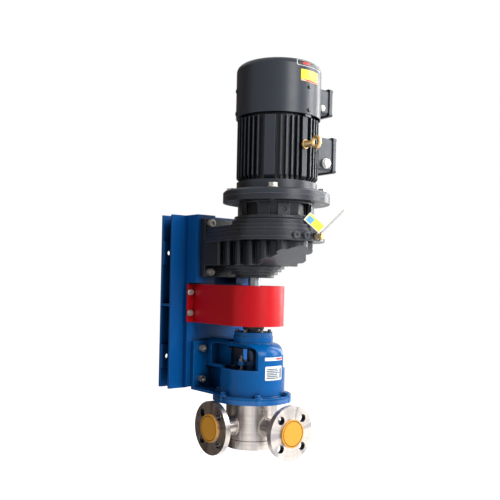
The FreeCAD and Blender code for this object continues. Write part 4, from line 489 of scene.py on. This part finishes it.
def bare_metal(name, colour, gloss=0.25, amount=0.3, marks=(), tilt=0.3, fan=None, metallic=1.0,
               covered=None, paint=None, dark=()):
    """Bare metal, with tool marks where marks gives (centre, direction, place), place None for everywhere.

    fan is the colour of the darker sectors of a painted reflection round a turning axis. covered is the place
    that has paint instead, and dark lists places painted dark, such as a seam, and the walls of bolt holes,
    where the dark is painted shade.
    """
    s = Shader(name)
    edges = s.group(round_edges, Radius=METAL_EDGE)
    wear = s.group(handling_wear, Colour=colour, Stain=METAL_STAIN, Amount=amount, Gloss=gloss)
    normal = (edges, "Normal")
    shown = (wear, "Colour")
    for centre, axis, place in marks:
        rings = s.group(lathe_marks, Centre=centre, Axis=axis, Tilt=tilt, Normal=(edges, "Normal"))
        marks_and_sheen = s.mix((rings, "Ring"), (wear, "Colour"), shaded(colour, 0.55))
        # Painted reflection: the darker sectors round the axis take the fan colour.
        if fan:
            marks_and_sheen = s.mix((rings, "Fan"), marks_and_sheen, fan)
        if place is None:
            shown, normal = marks_and_sheen, (rings, "Normal")
        else:
            there = (s.group(inside_radius, **place), "Mask")
            shown = s.mix(there, shown, marks_and_sheen)
            normal = s.mix_vector(there, normal, (rings, "Normal"))
    # Places painted dark: painted shade on the walls of bolt holes, and the dark line of a seam.
    for maker, place in dark:
        shown = s.mix((s.group(maker, **place), "Mask"), shown, shaded(colour, 0.05))
    if covered:
        place = s.group(inside_radius, **covered)
        metallic = (place, "Outside")
        shown = s.mix((place, "Mask"), shown, paint)
    return s.finish(Base_Color=shown, Roughness=(wear, "Roughness"),
                    Normal=s.bump((wear, "Height"), 0.12, 0.0002, normal), Metallic=metallic)


def moulded(name, colour, gloss=0.42, grain=700.0, strength=0.2, shade=None):
    """Moulded plastic or rubber with a fine grain. shade gives a darker groove."""
    s = Shader(name)
    edges = s.group(round_edges, Radius=METAL_EDGE)
    wear = s.group(handling_wear, Colour=colour, Stain=shaded(colour, 0.6), Amount=0.25, Gloss=gloss)
    skin = s.group(cast_skin, Scale=grain)
    shown = (wear, "Colour")
    if shade:
        outer = s.group(inside_radius, **shade)
        inner = s.group(inside_radius, **dict(shade, Radius=shade["Radius"] - CAP_GROOVE_WIDTH))
        ring = s.mix((inner, "Mask"), shaded(colour, 0.22), shown)
        shown = s.mix((outer, "Mask"), shown, ring)
    return s.finish(Base_Color=shown, Roughness=(wear, "Roughness"),
                    Normal=s.bump((skin, "Height"), strength, 0.0002, (edges, "Normal")))


def printed(name, colour, gloss=0.3):
    """A printed label or card: smooth, with faint scuffs."""
    s = Shader(name)
    wear = s.group(handling_wear, Colour=colour, Stain=shaded(colour, 0.75), Amount=0.35, Gloss=gloss)
    return s.finish(Base_Color=(wear, "Colour"), Roughness=(wear, "Roughness"),
                    Normal=s.bump((wear, "Height"), 0.05, 0.0001))


def colours():
    return bpy.context.scene.pump_colours


def sizes():
    return bpy.context.scene.pump_sizes


def finish_nodes(material, *names):
    """Give CAD pieces their finish."""
    for name in names:
        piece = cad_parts[name]
        piece.data.materials.clear()
        piece.data.materials.append(material)


def mesh_of(name, bm, degrees=35):
    """A mesh from a bmesh, smooth but for edges sharper than an angle."""
    bmesh.ops.recalc_face_normals(bm, faces=bm.faces)
    mesh = bpy.data.meshes.new(name)
    bm.to_mesh(mesh)
    bm.free()
    mesh.polygons.foreach_set("use_smooth", [True] * len(mesh.polygons))
    mesh.set_sharp_from_angle(angle=math.radians(degrees))
    return mesh


def new_piece(name, mesh, material, body="root"):
    piece = bpy.data.objects.new(name, mesh)
    bpy.context.scene.collection.objects.link(piece)
    piece.data.materials.append(material)
    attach(piece, body)
    return piece


def around(radius, degrees, axis_y, z):
    angle = math.radians(degrees)
    return Vector((-radius * math.sin(angle), axis_y - radius * math.cos(angle), z))


def add_patch(bm, profile, axis_y, left, right, low, high, thick, corner):
    """A thin plate or sticker bent round a shaft, with round corners.

    profile gives the radius at a height.
    """
    mid_angle = (left + right) / 2
    mid_z = (low + high) / 2
    half_z = (high - low) / 2
    half_arc = math.radians(abs(left - right)) / 2 * profile(mid_z)
    steps = 24
    layers = []
    for lift in (PRINT_GAP, thick):
        rows = []
        for j in range(steps + 1):
            down = half_z * (-1 + 2 * j / steps)
            from_edge = min(corner, half_z - abs(down))
            inset = corner - math.sqrt(max(0.0, corner**2 - (corner - from_edge) ** 2))
            z = mid_z + down
            row = []
            for i in range(steps + 1):
                arc = (half_arc - inset) * (-1 + 2 * i / steps)
                angle = mid_angle + math.degrees(arc / profile(mid_z))
                row.append(bm.verts.new(around(profile(z) + lift, angle, axis_y, z)))
            rows.append(row)
        layers.append(rows)
    inner, outer = layers
    for j in range(steps):
        for i in range(steps):
            bm.faces.new((outer[j][i], outer[j + 1][i], outer[j + 1][i + 1], outer[j][i + 1]))
            bm.faces.new((inner[j][i], inner[j][i + 1], inner[j + 1][i + 1], inner[j + 1][i]))
    rim = [(0, i) for i in range(steps)] + [(j, steps) for j in range(steps)]
    rim += [(steps, i) for i in range(steps, 0, -1)] + [(j, 0) for j in range(steps, 0, -1)]
    for (ja, ia), (jb, ib) in zip(rim, rim[1:] + rim[:1]):
        bm.faces.new((inner[ja][ia], outer[ja][ia], outer[jb][ib], inner[jb][ib]))


def wrapped(name, profile, axis_y, patches, material, lift=0.0, corner=0.4 * MM):
    """One piece of several patches, each (left, right, low, high)."""
    thick = sizes().label_thick
    bm = bmesh.new()
    for left, right, low, high in patches:
        add_patch(bm, lambda z: profile(z) + lift, axis_y, left, right, low, high, thick, corner)
    return new_piece(name, mesh_of(name, bm), material)


def bead_ring(name, radius, axis, centre, bead):
    """A weld bead round an axis, swelling at each ripple."""
    rings = 160
    sides = 8
    swell = 0.14
    bm = bmesh.new()
    axis = Vector(axis).normalized()
    first = axis.orthogonal().normalized()
    second = axis.cross(first)
    loops = []
    for i in range(rings):
        turn = 2 * math.pi * i / rings
        out = first * math.cos(turn) + second * math.sin(turn)
        size = bead * (1 + swell * math.sin(turn * WELD_RIPPLES))
        loop = []
        for k in range(sides):
            corner = 2 * math.pi * k / sides
            point = Vector(centre) + out * (radius + size * math.cos(corner)) + axis * size * math.sin(corner)
            loop.append(bm.verts.new(point))
        loops.append(loop)
    for a, b in zip(loops, loops[1:] + loops[:1]):
        for k in range(sides):
            bm.faces.new((a[k], b[k], b[(k + 1) % sides], a[(k + 1) % sides]))
    return mesh_of(name, bm, 80)


class PUMP_OT_wall_frame(bpy.types.Operator):
    """Paint the channels, the mounting plate and the pedestal legs"""
    bl_idname = "pump.wall_frame"
    bl_label = "Wall frame"

    def execute(self, context):
        # reach spreads painted shade over the plate behind and below the guard, and wear lightens the edges
        # partly as a painted highlight.
        paint = painted("Frame paint", colours().frame_blue, gloss=0.3, shine=0.18, dust=0.0, wear=0.7,
                        cast=0.12, cast_scale=180.0, edge=1.4 * MM, reach=0.16)
        finish_nodes(paint, "left_channel", "right_channel", "mounting_plate", "pedestal_legs")
        return {"FINISHED"}


class PUMP_OT_reducer(bpy.types.Operator):
    """Paint the reducer's castings and finish its plugs"""
    bl_idname = "pump.reducer"
    bl_label = "Gear reducer"

    def execute(self, context):
        # wear lightens the rounded edges, partly as a painted highlight.
        casting = dict(gloss=0.26, shine=0.27, dust=0.12, wear=1.4, cast=0.5, cast_scale=240.0,
                       edge=sizes().cast_round)
        paint = painted("Reducer paint", colours().casting_grey, **casting)
        finish_nodes(paint, "gearbox_case", "gearbox_cover", "output_bearing_cap", "gearbox_plugs")
        # Painted shade: the recesses within ADAPTER_RECESS_R of the motor axis are darkened in the colour.
        recess = dict(Centre=MOTOR_AXIS, Radius=ADAPTER_RECESS_R)
        adapter = painted("Adapter paint", colours().casting_grey, shade=recess, **casting)
        finish_nodes(adapter, "motor_adapter")
        finish_nodes(bare_metal("Plug brass", srgb(186, 160, 104), gloss=0.3), "breather_plugs")
        return {"FINISHED"}


class PUMP_OT_motor(bpy.types.Operator):
    """Paint the motor, its cowl and its terminal boxes"""
    bl_idname = "pump.motor"
    bl_label = "Motor"

    def execute(self, context):
        cast = painted("Motor casting paint", colours().body_grey, gloss=0.28, shine=0.28, dust=0.1,
                       wear=1.1, cast=0.3, cast_scale=300.0, edge=1.2 * MM)
        finish_nodes(cast, "motor_frame", "motor_flange_shield", "motor_rear_shield", "terminal_box",
                     "terminal_box_lid", "fan_terminal_box", "fan_terminal_box_lid")
        sheet = painted("Cowl paint", colours().body_grey, gloss=0.26, dust=0.1, wear=0.2)
        finish_nodes(sheet, "fan_cowl")
        brass = bare_metal("Eyebolt brass", srgb(212, 178, 124), gloss=0.28, amount=0.25)
        finish_nodes(brass, "lifting_eyebolt")
        finish_nodes(moulded("Entry plug plastic", srgb(226, 226, 220)), "cable_entry_plugs")
        finish_nodes(moulded("Screw black", srgb(26, 27, 30), gloss=0.3), "cover_screws", "cooling_fan")
        return {"FINISHED"}


def cowl_radius(z):
    rise = z - (COWL_TOP - COWL_ROUND)
    if rise <= 0:
        return COWL_R
    return COWL_R - COWL_ROUND + math.sqrt(max(0.0, COWL_ROUND**2 - rise**2))


def bracket_radius(z):
    return BRACKET_R


class PUMP_OT_labels(bpy.types.Operator):
    """Stickers on the cowl, and a strip and a nameplate on the bracket"""
    bl_idname = "pump.labels"
    bl_label = "Labels and plates"

    def execute(self, context):
        lift = sizes().label_thick
        yellow = printed("Label yellow print", colours().label_yellow)
        red = printed("Label red print", colours().label_red)
        white = printed("Label white print", colours().label_white)
        black = printed("Label black print", srgb(24, 25, 30))
        plate = bare_metal("Nameplate aluminium", srgb(206, 208, 208), gloss=0.34, amount=0.4)
        grey = printed("Nameplate print", srgb(74, 84, 102))

        def cowl(name, patches, material, raise_by=0.0, corner=0.5 * MM):
            wrapped(name, cowl_radius, MOTOR_Y, patches, material, raise_by, corner)

        cowl("cowl_label", [COWL_LABEL], yellow)
        cowl("cowl_label_band", [COWL_LABEL_BAND], red, lift)
        cowl("cowl_label_foot", [COWL_LABEL_FOOT], white, 2 * lift)
        cowl("cowl_strip", [COWL_STRIP], white, 0.0, 3.5 * MM)
        cowl("cowl_strip_field", [COWL_STRIP_FIELD], black, lift, 3.0 * MM)
        cowl("cowl_strip_band", [COWL_STRIP_BAND], red, 2 * lift)

        def bracket(name, patches, material, raise_by=0.0, corner=0.5 * MM):
            wrapped(name, bracket_radius, PUMP_Y, patches, material, raise_by, corner)

        bracket("bracket_strip", [BRACKET_STRIP], white)
        bracket("bracket_strip_band", [BRACKET_STRIP_BAND], red, lift)
        bracket("bracket_nameplate", [NAMEPLATE], plate, 0.0, 2.2 * MM)
        fields = []
        for k in range(NAMEPLATE_ROWS):
            low = NAMEPLATE_FIRST_ROW + NAMEPLATE_ROW_STEP * k
            fields.append((14.0 - k % 2, -13.0 + 2 * (k % 3), low, low + NAMEPLATE_ROW_HEIGHT))
        fields.append(NAMEPLATE_COLUMN)
        bracket("bracket_nameplate_fields", fields, grey, lift)
        return {"FINISHED"}


def card_corners(piece):
    """A card's upper corner and its thickness, width and length, worked out from its box-shaped mesh."""
    points = []
    for vertex in piece.data.vertices:
        if all((vertex.co - p).length > 0.1 * MM for p in points):
            points.append(vertex.co.copy())
    start = max(points, key=lambda p: p.z)
    sides = sorted((p - start for p in points if p != start), key=lambda v: v.length)
    square = []
    for side in sides:
        if all(abs(side.normalized().dot(other.normalized())) < 0.1 for other in square):
            square.append(side)
    return start, square[0], square[1], square[2]


def card_panel(name, card, along, across, lift, material):
    """A thin printed panel on the front of a card, in shares of its length and width."""
    start, thick, width, length = card
    front = start if thick.y > 0 else start + thick
    out = -thick.normalized() if thick.y > 0 else thick.normalized()
    bm = bmesh.new()
    levels = []
    corners = ((along[0], across[0]), (along[1], across[0]), (along[1], across[1]), (along[0], across[1]))
    for rise in (PRINT_GAP + lift, PRINT_GAP + PRINT_THICK + lift):
        levels.append([bm.verts.new(front + out * rise + length * u + width * v) for u, v in corners])
    low, high = levels
    bm.faces.new(low)
    bm.faces.new(high)
    for k in range(4):
        bm.faces.new((low[k], low[(k + 1) % 4], high[(k + 1) % 4], high[k]))
    return new_piece(name, mesh_of(name, bm), material)


class PUMP_OT_tag(bpy.types.Operator):
    """The card and the nylon tie on the breather"""
    bl_idname = "pump.tag"
    bl_label = "Hang tag"

    def execute(self, context):
        finish_nodes(printed("Tag card", colours().label_white), "hang_tag")
        finish_nodes(moulded("Tie nylon", srgb(150, 149, 144), gloss=0.35), "tag_tie")
        card = card_corners(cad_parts["hang_tag"])
        yellow = printed("Tag yellow print", colours().label_yellow)
        blue = printed("Tag blue print", srgb(70, 150, 200))
        card_panel("tag_yellow", card, (0.045, 0.955), (0.07, 0.93), 0, yellow)
        card_panel("tag_blue", card, (0.08, 0.42), (0.26, 0.9), PRINT_GAP + PRINT_THICK, blue)
        return {"FINISHED"}


class PUMP_OT_guard(bpy.types.Operator):
    """Paint the coupling guard"""
    bl_idname = "pump.guard"
    bl_label = "Coupling guard"

    def execute(self, context):
        paint = painted("Guard paint", colours().guard_red, gloss=0.3, dust=0.05, wear=0.15)
        finish_nodes(paint, "coupling_guard")
        return {"FINISHED"}


class PUMP_OT_bracket(bpy.types.Operator):
    """Paint the lantern bracket, its bearing cover and its flange bolts"""
    bl_idname = "pump.bracket"
    bl_label = "Pump bracket"

    def execute(self, context):
        blue = colours().bracket_blue
        # Painted shade: the lantern's inside, within BRACKET_INSIDE_R and below LANTERN_TOP, is darkened in
        # the colour.
        inside = dict(Centre=PUMP_AXIS, Radius=BRACKET_INSIDE_R, High=LANTERN_TOP)
        paint = painted("Bracket paint", blue, gloss=0.12, shine=0.14, dust=0.0, wear=1.1, cast=0.9,
                        cast_scale=100.0, edge=sizes().cast_round, shade=inside)
        finish_nodes(paint, "pump_bracket")
        trim = painted("Bracket trim paint", blue, gloss=0.3, cast=0.2, dust=0.08)
        finish_nodes(trim, "bearing_cover", "bracket_flange_bolts", "gland_follower")
        return {"FINISHED"}


class PUMP_OT_pump(bpy.types.Operator):
    """Machined stainless pump body, end cover and weld beads"""
    bl_idname = "pump.pump"
    bl_label = "Pump"

    def execute(self, context):
        flange = dict(Centre=PUMP_AXIS, Radius=FLANGE_REACH, Low=BRACKET_FLANGE_Z)
        seam = dict(Centre=PUMP_AXIS, Radius=BODY_REACH, Low=COVER_SEAM_Z - SEAM_WIDTH, High=COVER_SEAM_Z)
        dark = [(inside_radius, seam)]
        marks = [(PUMP_AXIS, UP, None)]
        for out in ((-1, 0, 0), (0, -1, 0)):
            port = dict(Centre=PORT_AXIS, Axis=out)
            # The walls of the ports' bolt holes are painted dark as shade.
            dark.append((drilled_walls, dict(port, Inner=PORT_FACE_R, Outer=PORT_RIM_R, Reach=PORT_REACH)))
            marks.append((PORT_AXIS, out, dict(port, Radius=PORT_FLANGE_REACH, Low=BODY_REACH)))
        # fan gives the darker sectors of a painted reflection on the turned body and port faces.
        turned = bare_metal("Turned stainless", colours().stainless, gloss=0.2, amount=0.18, marks=marks,
                            tilt=0.4, fan=srgb(150, 146, 148), covered=flange,
                            paint=colours().bracket_blue, dark=dark)
        finish_nodes(turned, "pump_body", "front_cover")
        weld = bare_metal("Weld bead", srgb(186, 178, 168), gloss=0.3, amount=0.5)
        for name, axis, centre in (("weld_left_port", (1, 0, 0), (-WELD_OUT, PUMP_Y, PORT_Z)),
                                   ("weld_front_port", (0, 1, 0), (0, PUMP_Y - WELD_OUT, PORT_Z))):
            mesh = bead_ring(name, WELD_R, axis, centre, sizes().weld_size)
            new_piece(name, mesh, weld)
        return {"FINISHED"}


class PUMP_OT_port_caps(bpy.types.Operator):
    """The plastic caps in both ports"""
    bl_idname = "pump.port_caps"
    bl_label = "Port caps"

    def execute(self, context):
        for name, axis in (("left_port_cap", (1, 0, 0)), ("front_port_cap", (0, 1, 0))):
            groove = dict(Centre=PORT_AXIS, Axis=axis, Radius=CAP_GROOVE_R)
            title = name.replace("_", " ").capitalize() + " plastic"
            finish_nodes(moulded(title, colours().cap_yellow, gloss=0.38, shade=groove), name)
        return {"FINISHED"}


class PUMP_OT_fasteners(bpy.types.Operator):
    """Zinc and black fasteners"""
    bl_idname = "pump.fasteners"
    bl_label = "Fasteners"

    def execute(self, context):
        zinc = bare_metal("Fastener zinc", srgb(176, 172, 166), gloss=0.3, amount=0.6)
        finish_nodes(zinc, "gearbox_foot_bolts", "bracket_foot_bolts", "motor_flange_bolts", "guard_screws",
                     "end_cover_screws")
        oiled = bare_metal("Oiled screw steel", srgb(92, 92, 94), gloss=0.3, amount=0.4)
        finish_nodes(oiled, "bearing_cover_screws", "gland_studs")
        return {"FINISHED"}


class PUMP_OT_drive_line(bpy.types.Operator):
    """Shafts, coupling, bearings, gears and the motor's inside"""
    bl_idname = "pump.drive_line"
    bl_label = "Drive line"

    def execute(self, context):
        turned = [(PUMP_AXIS, UP, None)]
        shaft = bare_metal("Ground shaft steel", srgb(160, 166, 174), gloss=0.2, marks=turned)
        finish_nodes(shaft, "output_shaft", "motor_shaft", "lay_shaft", "idler_pin", "coupling_pins")
        oiled = bare_metal("Oiled shaft steel", srgb(66, 74, 88), gloss=0.34, marks=turned)
        finish_nodes(oiled, "pump_shaft")
        gear = bare_metal("Gear steel", srgb(150, 150, 152), gloss=0.25, amount=0.5)
        finish_nodes(gear, "first_stage_wheel", "output_wheel", "outer_rotor", "idler_gear")
        ring = bare_metal("Bearing steel", srgb(190, 190, 192), gloss=0.15)
        finish_nodes(ring, "gearbox_bearings", "motor_bearings", "pump_bearings")
        iron = bare_metal("Coupling iron", srgb(62, 62, 62), gloss=0.42, amount=0.6, metallic=0.6)
        finish_nodes(iron, "upper_coupling_hub", "lower_coupling_hub")
        finish_nodes(moulded("Bush rubber", srgb(24, 24, 25), gloss=0.6), "coupling_bushes")
        finish_nodes(moulded("Packing braid", srgb(112, 104, 88), gloss=0.7, grain=400.0, strength=0.6),
                     "shaft_packing")
        finish_nodes(bare_metal("Winding copper", srgb(176, 100, 58), gloss=0.35), "motor_stator")
        finish_nodes(bare_metal("Cast aluminium", srgb(178, 180, 182), gloss=0.4), "motor_rotor", "fan_motor")
        return {"FINISHED"}


def area_lamp(name, place, size, power):
    lamp = bpy.data.lights.new(name, "AREA")
    lamp.shape = "RECTANGLE"
    lamp.size, lamp.size_y = size
    lamp.energy = power
    piece = bpy.data.objects.new(name, lamp)
    bpy.context.scene.collection.objects.link(piece)
    piece.location = place
    piece.rotation_mode = "QUATERNION"
    piece.rotation_quaternion = (Vector(LAMP_TARGET) - Vector(place)).to_track_quat("-Z", "Y")
    return piece


def seen_directly(maker):
    """A value of 1 for camera, glossy and transmission rays."""
    path = maker.add("ShaderNodeLightPath")
    seen = (path, "Is Camera Ray")
    for ray in ("Is Glossy Ray", "Is Transmission Ray"):
        node = maker.add("ShaderNodeMath", operation="MAXIMUM")
        maker.wire(seen, node.inputs[0])
        maker.wire((path, ray), node.inputs[1])
        seen = (node, 0)
    return seen


class Sky(NodeMaker):
    """The world's nodes."""

    def __init__(self, scene):
        world = bpy.data.worlds.new("Studio sky")
        scene.world = world
        world.use_nodes = True
        self.tree = world.node_tree
        self.tree.nodes.clear()


class PUMP_OT_studio(bpy.types.Operator):
    """Floor, reflected backdrops, lamps, sky and camera"""
    bl_idname = "pump.studio"
    bl_label = "Studio"

    def execute(self, context):
        scene = context.scene
        studio = scene.pump_studio
        scene.view_settings.view_transform = "Standard"
        ground = CAD_BOX[0].z - studio.floor_gap
        self.floor(ground)
        low = ground + CARD_ABOVE_FLOOR
        self.card("studio_flag", low, FLAG_ANGLES, FLAG_INNER_R, Base_Color=srgb(92, 74, 62), Roughness=0.9)
        self.card("studio_strip", low + STRIP_RAISE, STRIP_ANGLES, Base_Color=(0, 0, 0),
                  Emission_Color=(1, 1, 1), Emission_Strength=studio.strip_glow)
        self.sky(scene, studio.sky)
        area_lamp("Key lamp", KEY_PLACE, KEY_SIZE, studio.key_power)
        area_lamp("Fill lamp", FILL_PLACE, FILL_SIZE, studio.fill_power)
        self.camera(scene)
        return {"FINISHED"}

    def floor(self, z):
        bm = bmesh.new()
        bmesh.ops.create_grid(bm, x_segments=2, y_segments=2, size=FLOOR_HALF)
        bmesh.ops.translate(bm, verts=bm.verts, vec=(0, 0, z))
        floor = bpy.data.objects.new("studio_floor", mesh_of("studio_floor", bm))
        bpy.context.scene.collection.objects.link(floor)
        s = Shader("Floor white")
        lift = s.add("ShaderNodeMath", operation="MULTIPLY")
        s.wire(seen_directly(s), lift.inputs[0])
        lift.inputs[1].default_value = FLOOR_LIFT
        white = s.finish(Base_Color=(0.86, 0.86, 0.86), Roughness=0.7, Specular_IOR_Level=0.1,
                         Emission_Color=(1, 1, 1), Emission_Strength=(lift, 0))
        floor.data.materials.append(white)

    def card(self, name, low, angles, inner=None, **finish):
        """A curved backdrop that only reflections show, between two angles from the camera's side.

        inner gives the radius from which it also covers the floor.
        """
        first, last = angles
        bm = bmesh.new()
        rows = []
        for k in range(CARD_STEPS + 1):
            turn = CAMERA_HEADING + first + (last - first) * k / CARD_STEPS
            foot = around(CARD_R, turn, PUMP_Y, low)
            row = [foot, foot + Vector((0, 0, CARD_HEIGHT))]
            if inner:
                row.insert(0, around(inner, turn, PUMP_Y, low))
            rows.append([bm.verts.new(point) for point in row])
        for a, b in zip(rows, rows[1:]):
            for n in range(len(a) - 1):
                bm.faces.new((a[n], b[n], b[n + 1], a[n + 1]))
        card = bpy.data.objects.new(name, mesh_of(name, bm))
        bpy.context.scene.collection.objects.link(card)
        card.data.materials.append(Shader(name).finish(**finish))
        for ray in ("camera", "diffuse", "transmission", "shadow"):
            setattr(card, "visible_" + ray, False)

    def sky(self, scene, level):
        sky = Sky(scene)
        light = sky.add("ShaderNodeBackground")
        light.inputs["Color"].default_value = (1, 1, 1, 1)
        strength = sky.add("ShaderNodeMix")
        sky.wire(seen_directly(sky), strength.inputs[0])
        strength.inputs[2].default_value = level
        strength.inputs[3].default_value = 1.0
        sky.wire((strength, 0), light.inputs["Strength"])
        out = sky.add("ShaderNodeOutputWorld")
        sky.wire((light, 0), out.inputs["Surface"])

    def camera(self, scene):
        heading = math.radians(CAMERA_HEADING)
        roll = math.radians(CAMERA_ROLL)
        ahead = Vector((math.sin(heading), math.cos(heading), 0))
        level = Vector((math.cos(heading), -math.sin(heading), 0))
        up = Vector(UP)
        right = level * math.cos(roll) + up * math.sin(roll)
        top = up * math.cos(roll) - level * math.sin(roll)
        data = bpy.data.cameras.new("Photo camera")
        data.sensor_width = CAMERA_SENSOR
        data.lens = CAMERA_LENS
        data.shift_y = CAMERA_SHIFT
        data.clip_start = 0.05
        camera = bpy.data.objects.new("Photo camera", data)
        scene.collection.objects.link(camera)
        camera.rotation_mode = "QUATERNION"
        camera.rotation_quaternion = Matrix((right, top, -ahead)).transposed().to_quaternion()
        camera.location = CAMERA_PLACE
        scene.camera = camera


class PUMP_PT_panel(bpy.types.Panel):
    """Every piece of the pump, in the order they are made"""
    bl_label = "Gear oil transfer pump"
    bl_idname = "PUMP_PT_panel"
    bl_space_type = "VIEW_3D"
    bl_region_type = "UI"
    bl_category = "Pump"

    def draw(self, context):
        for group in (context.scene.pump_colours, context.scene.pump_sizes, context.scene.pump_studio):
            for name in group.bl_rna.properties.keys():
                if name not in ("rna_type", "name"):
                    self.layout.prop(group, name)
        for operator in OPERATORS:
            self.layout.operator(operator.bl_idname)


OPERATORS = (PUMP_OT_wall_frame, PUMP_OT_reducer, PUMP_OT_motor, PUMP_OT_labels, PUMP_OT_tag, PUMP_OT_guard,
             PUMP_OT_bracket, PUMP_OT_pump, PUMP_OT_port_caps, PUMP_OT_fasteners, PUMP_OT_drive_line,
             PUMP_OT_studio)
CLASSES = (PumpColours, PumpSizes, PumpStudio) + OPERATORS + (PUMP_PT_panel,)


def register():
    for cls in CLASSES:
        bpy.utils.register_class(cls)
    bpy.types.Scene.pump_colours = PointerProperty(type=PumpColours)
    bpy.types.Scene.pump_sizes = PointerProperty(type=PumpSizes)
    bpy.types.Scene.pump_studio = PointerProperty(type=PumpStudio)


def unregister():
    del bpy.types.Scene.pump_studio
    del bpy.types.Scene.pump_sizes
    del bpy.types.Scene.pump_colours
    for cls in reversed(CLASSES):
        bpy.utils.unregister_class(cls)


def main():
    register()
    for operator in OPERATORS:
        getattr(bpy.ops.pump, operator.bl_idname.split(".")[1])()


if __name__ == "__main__":
    main()
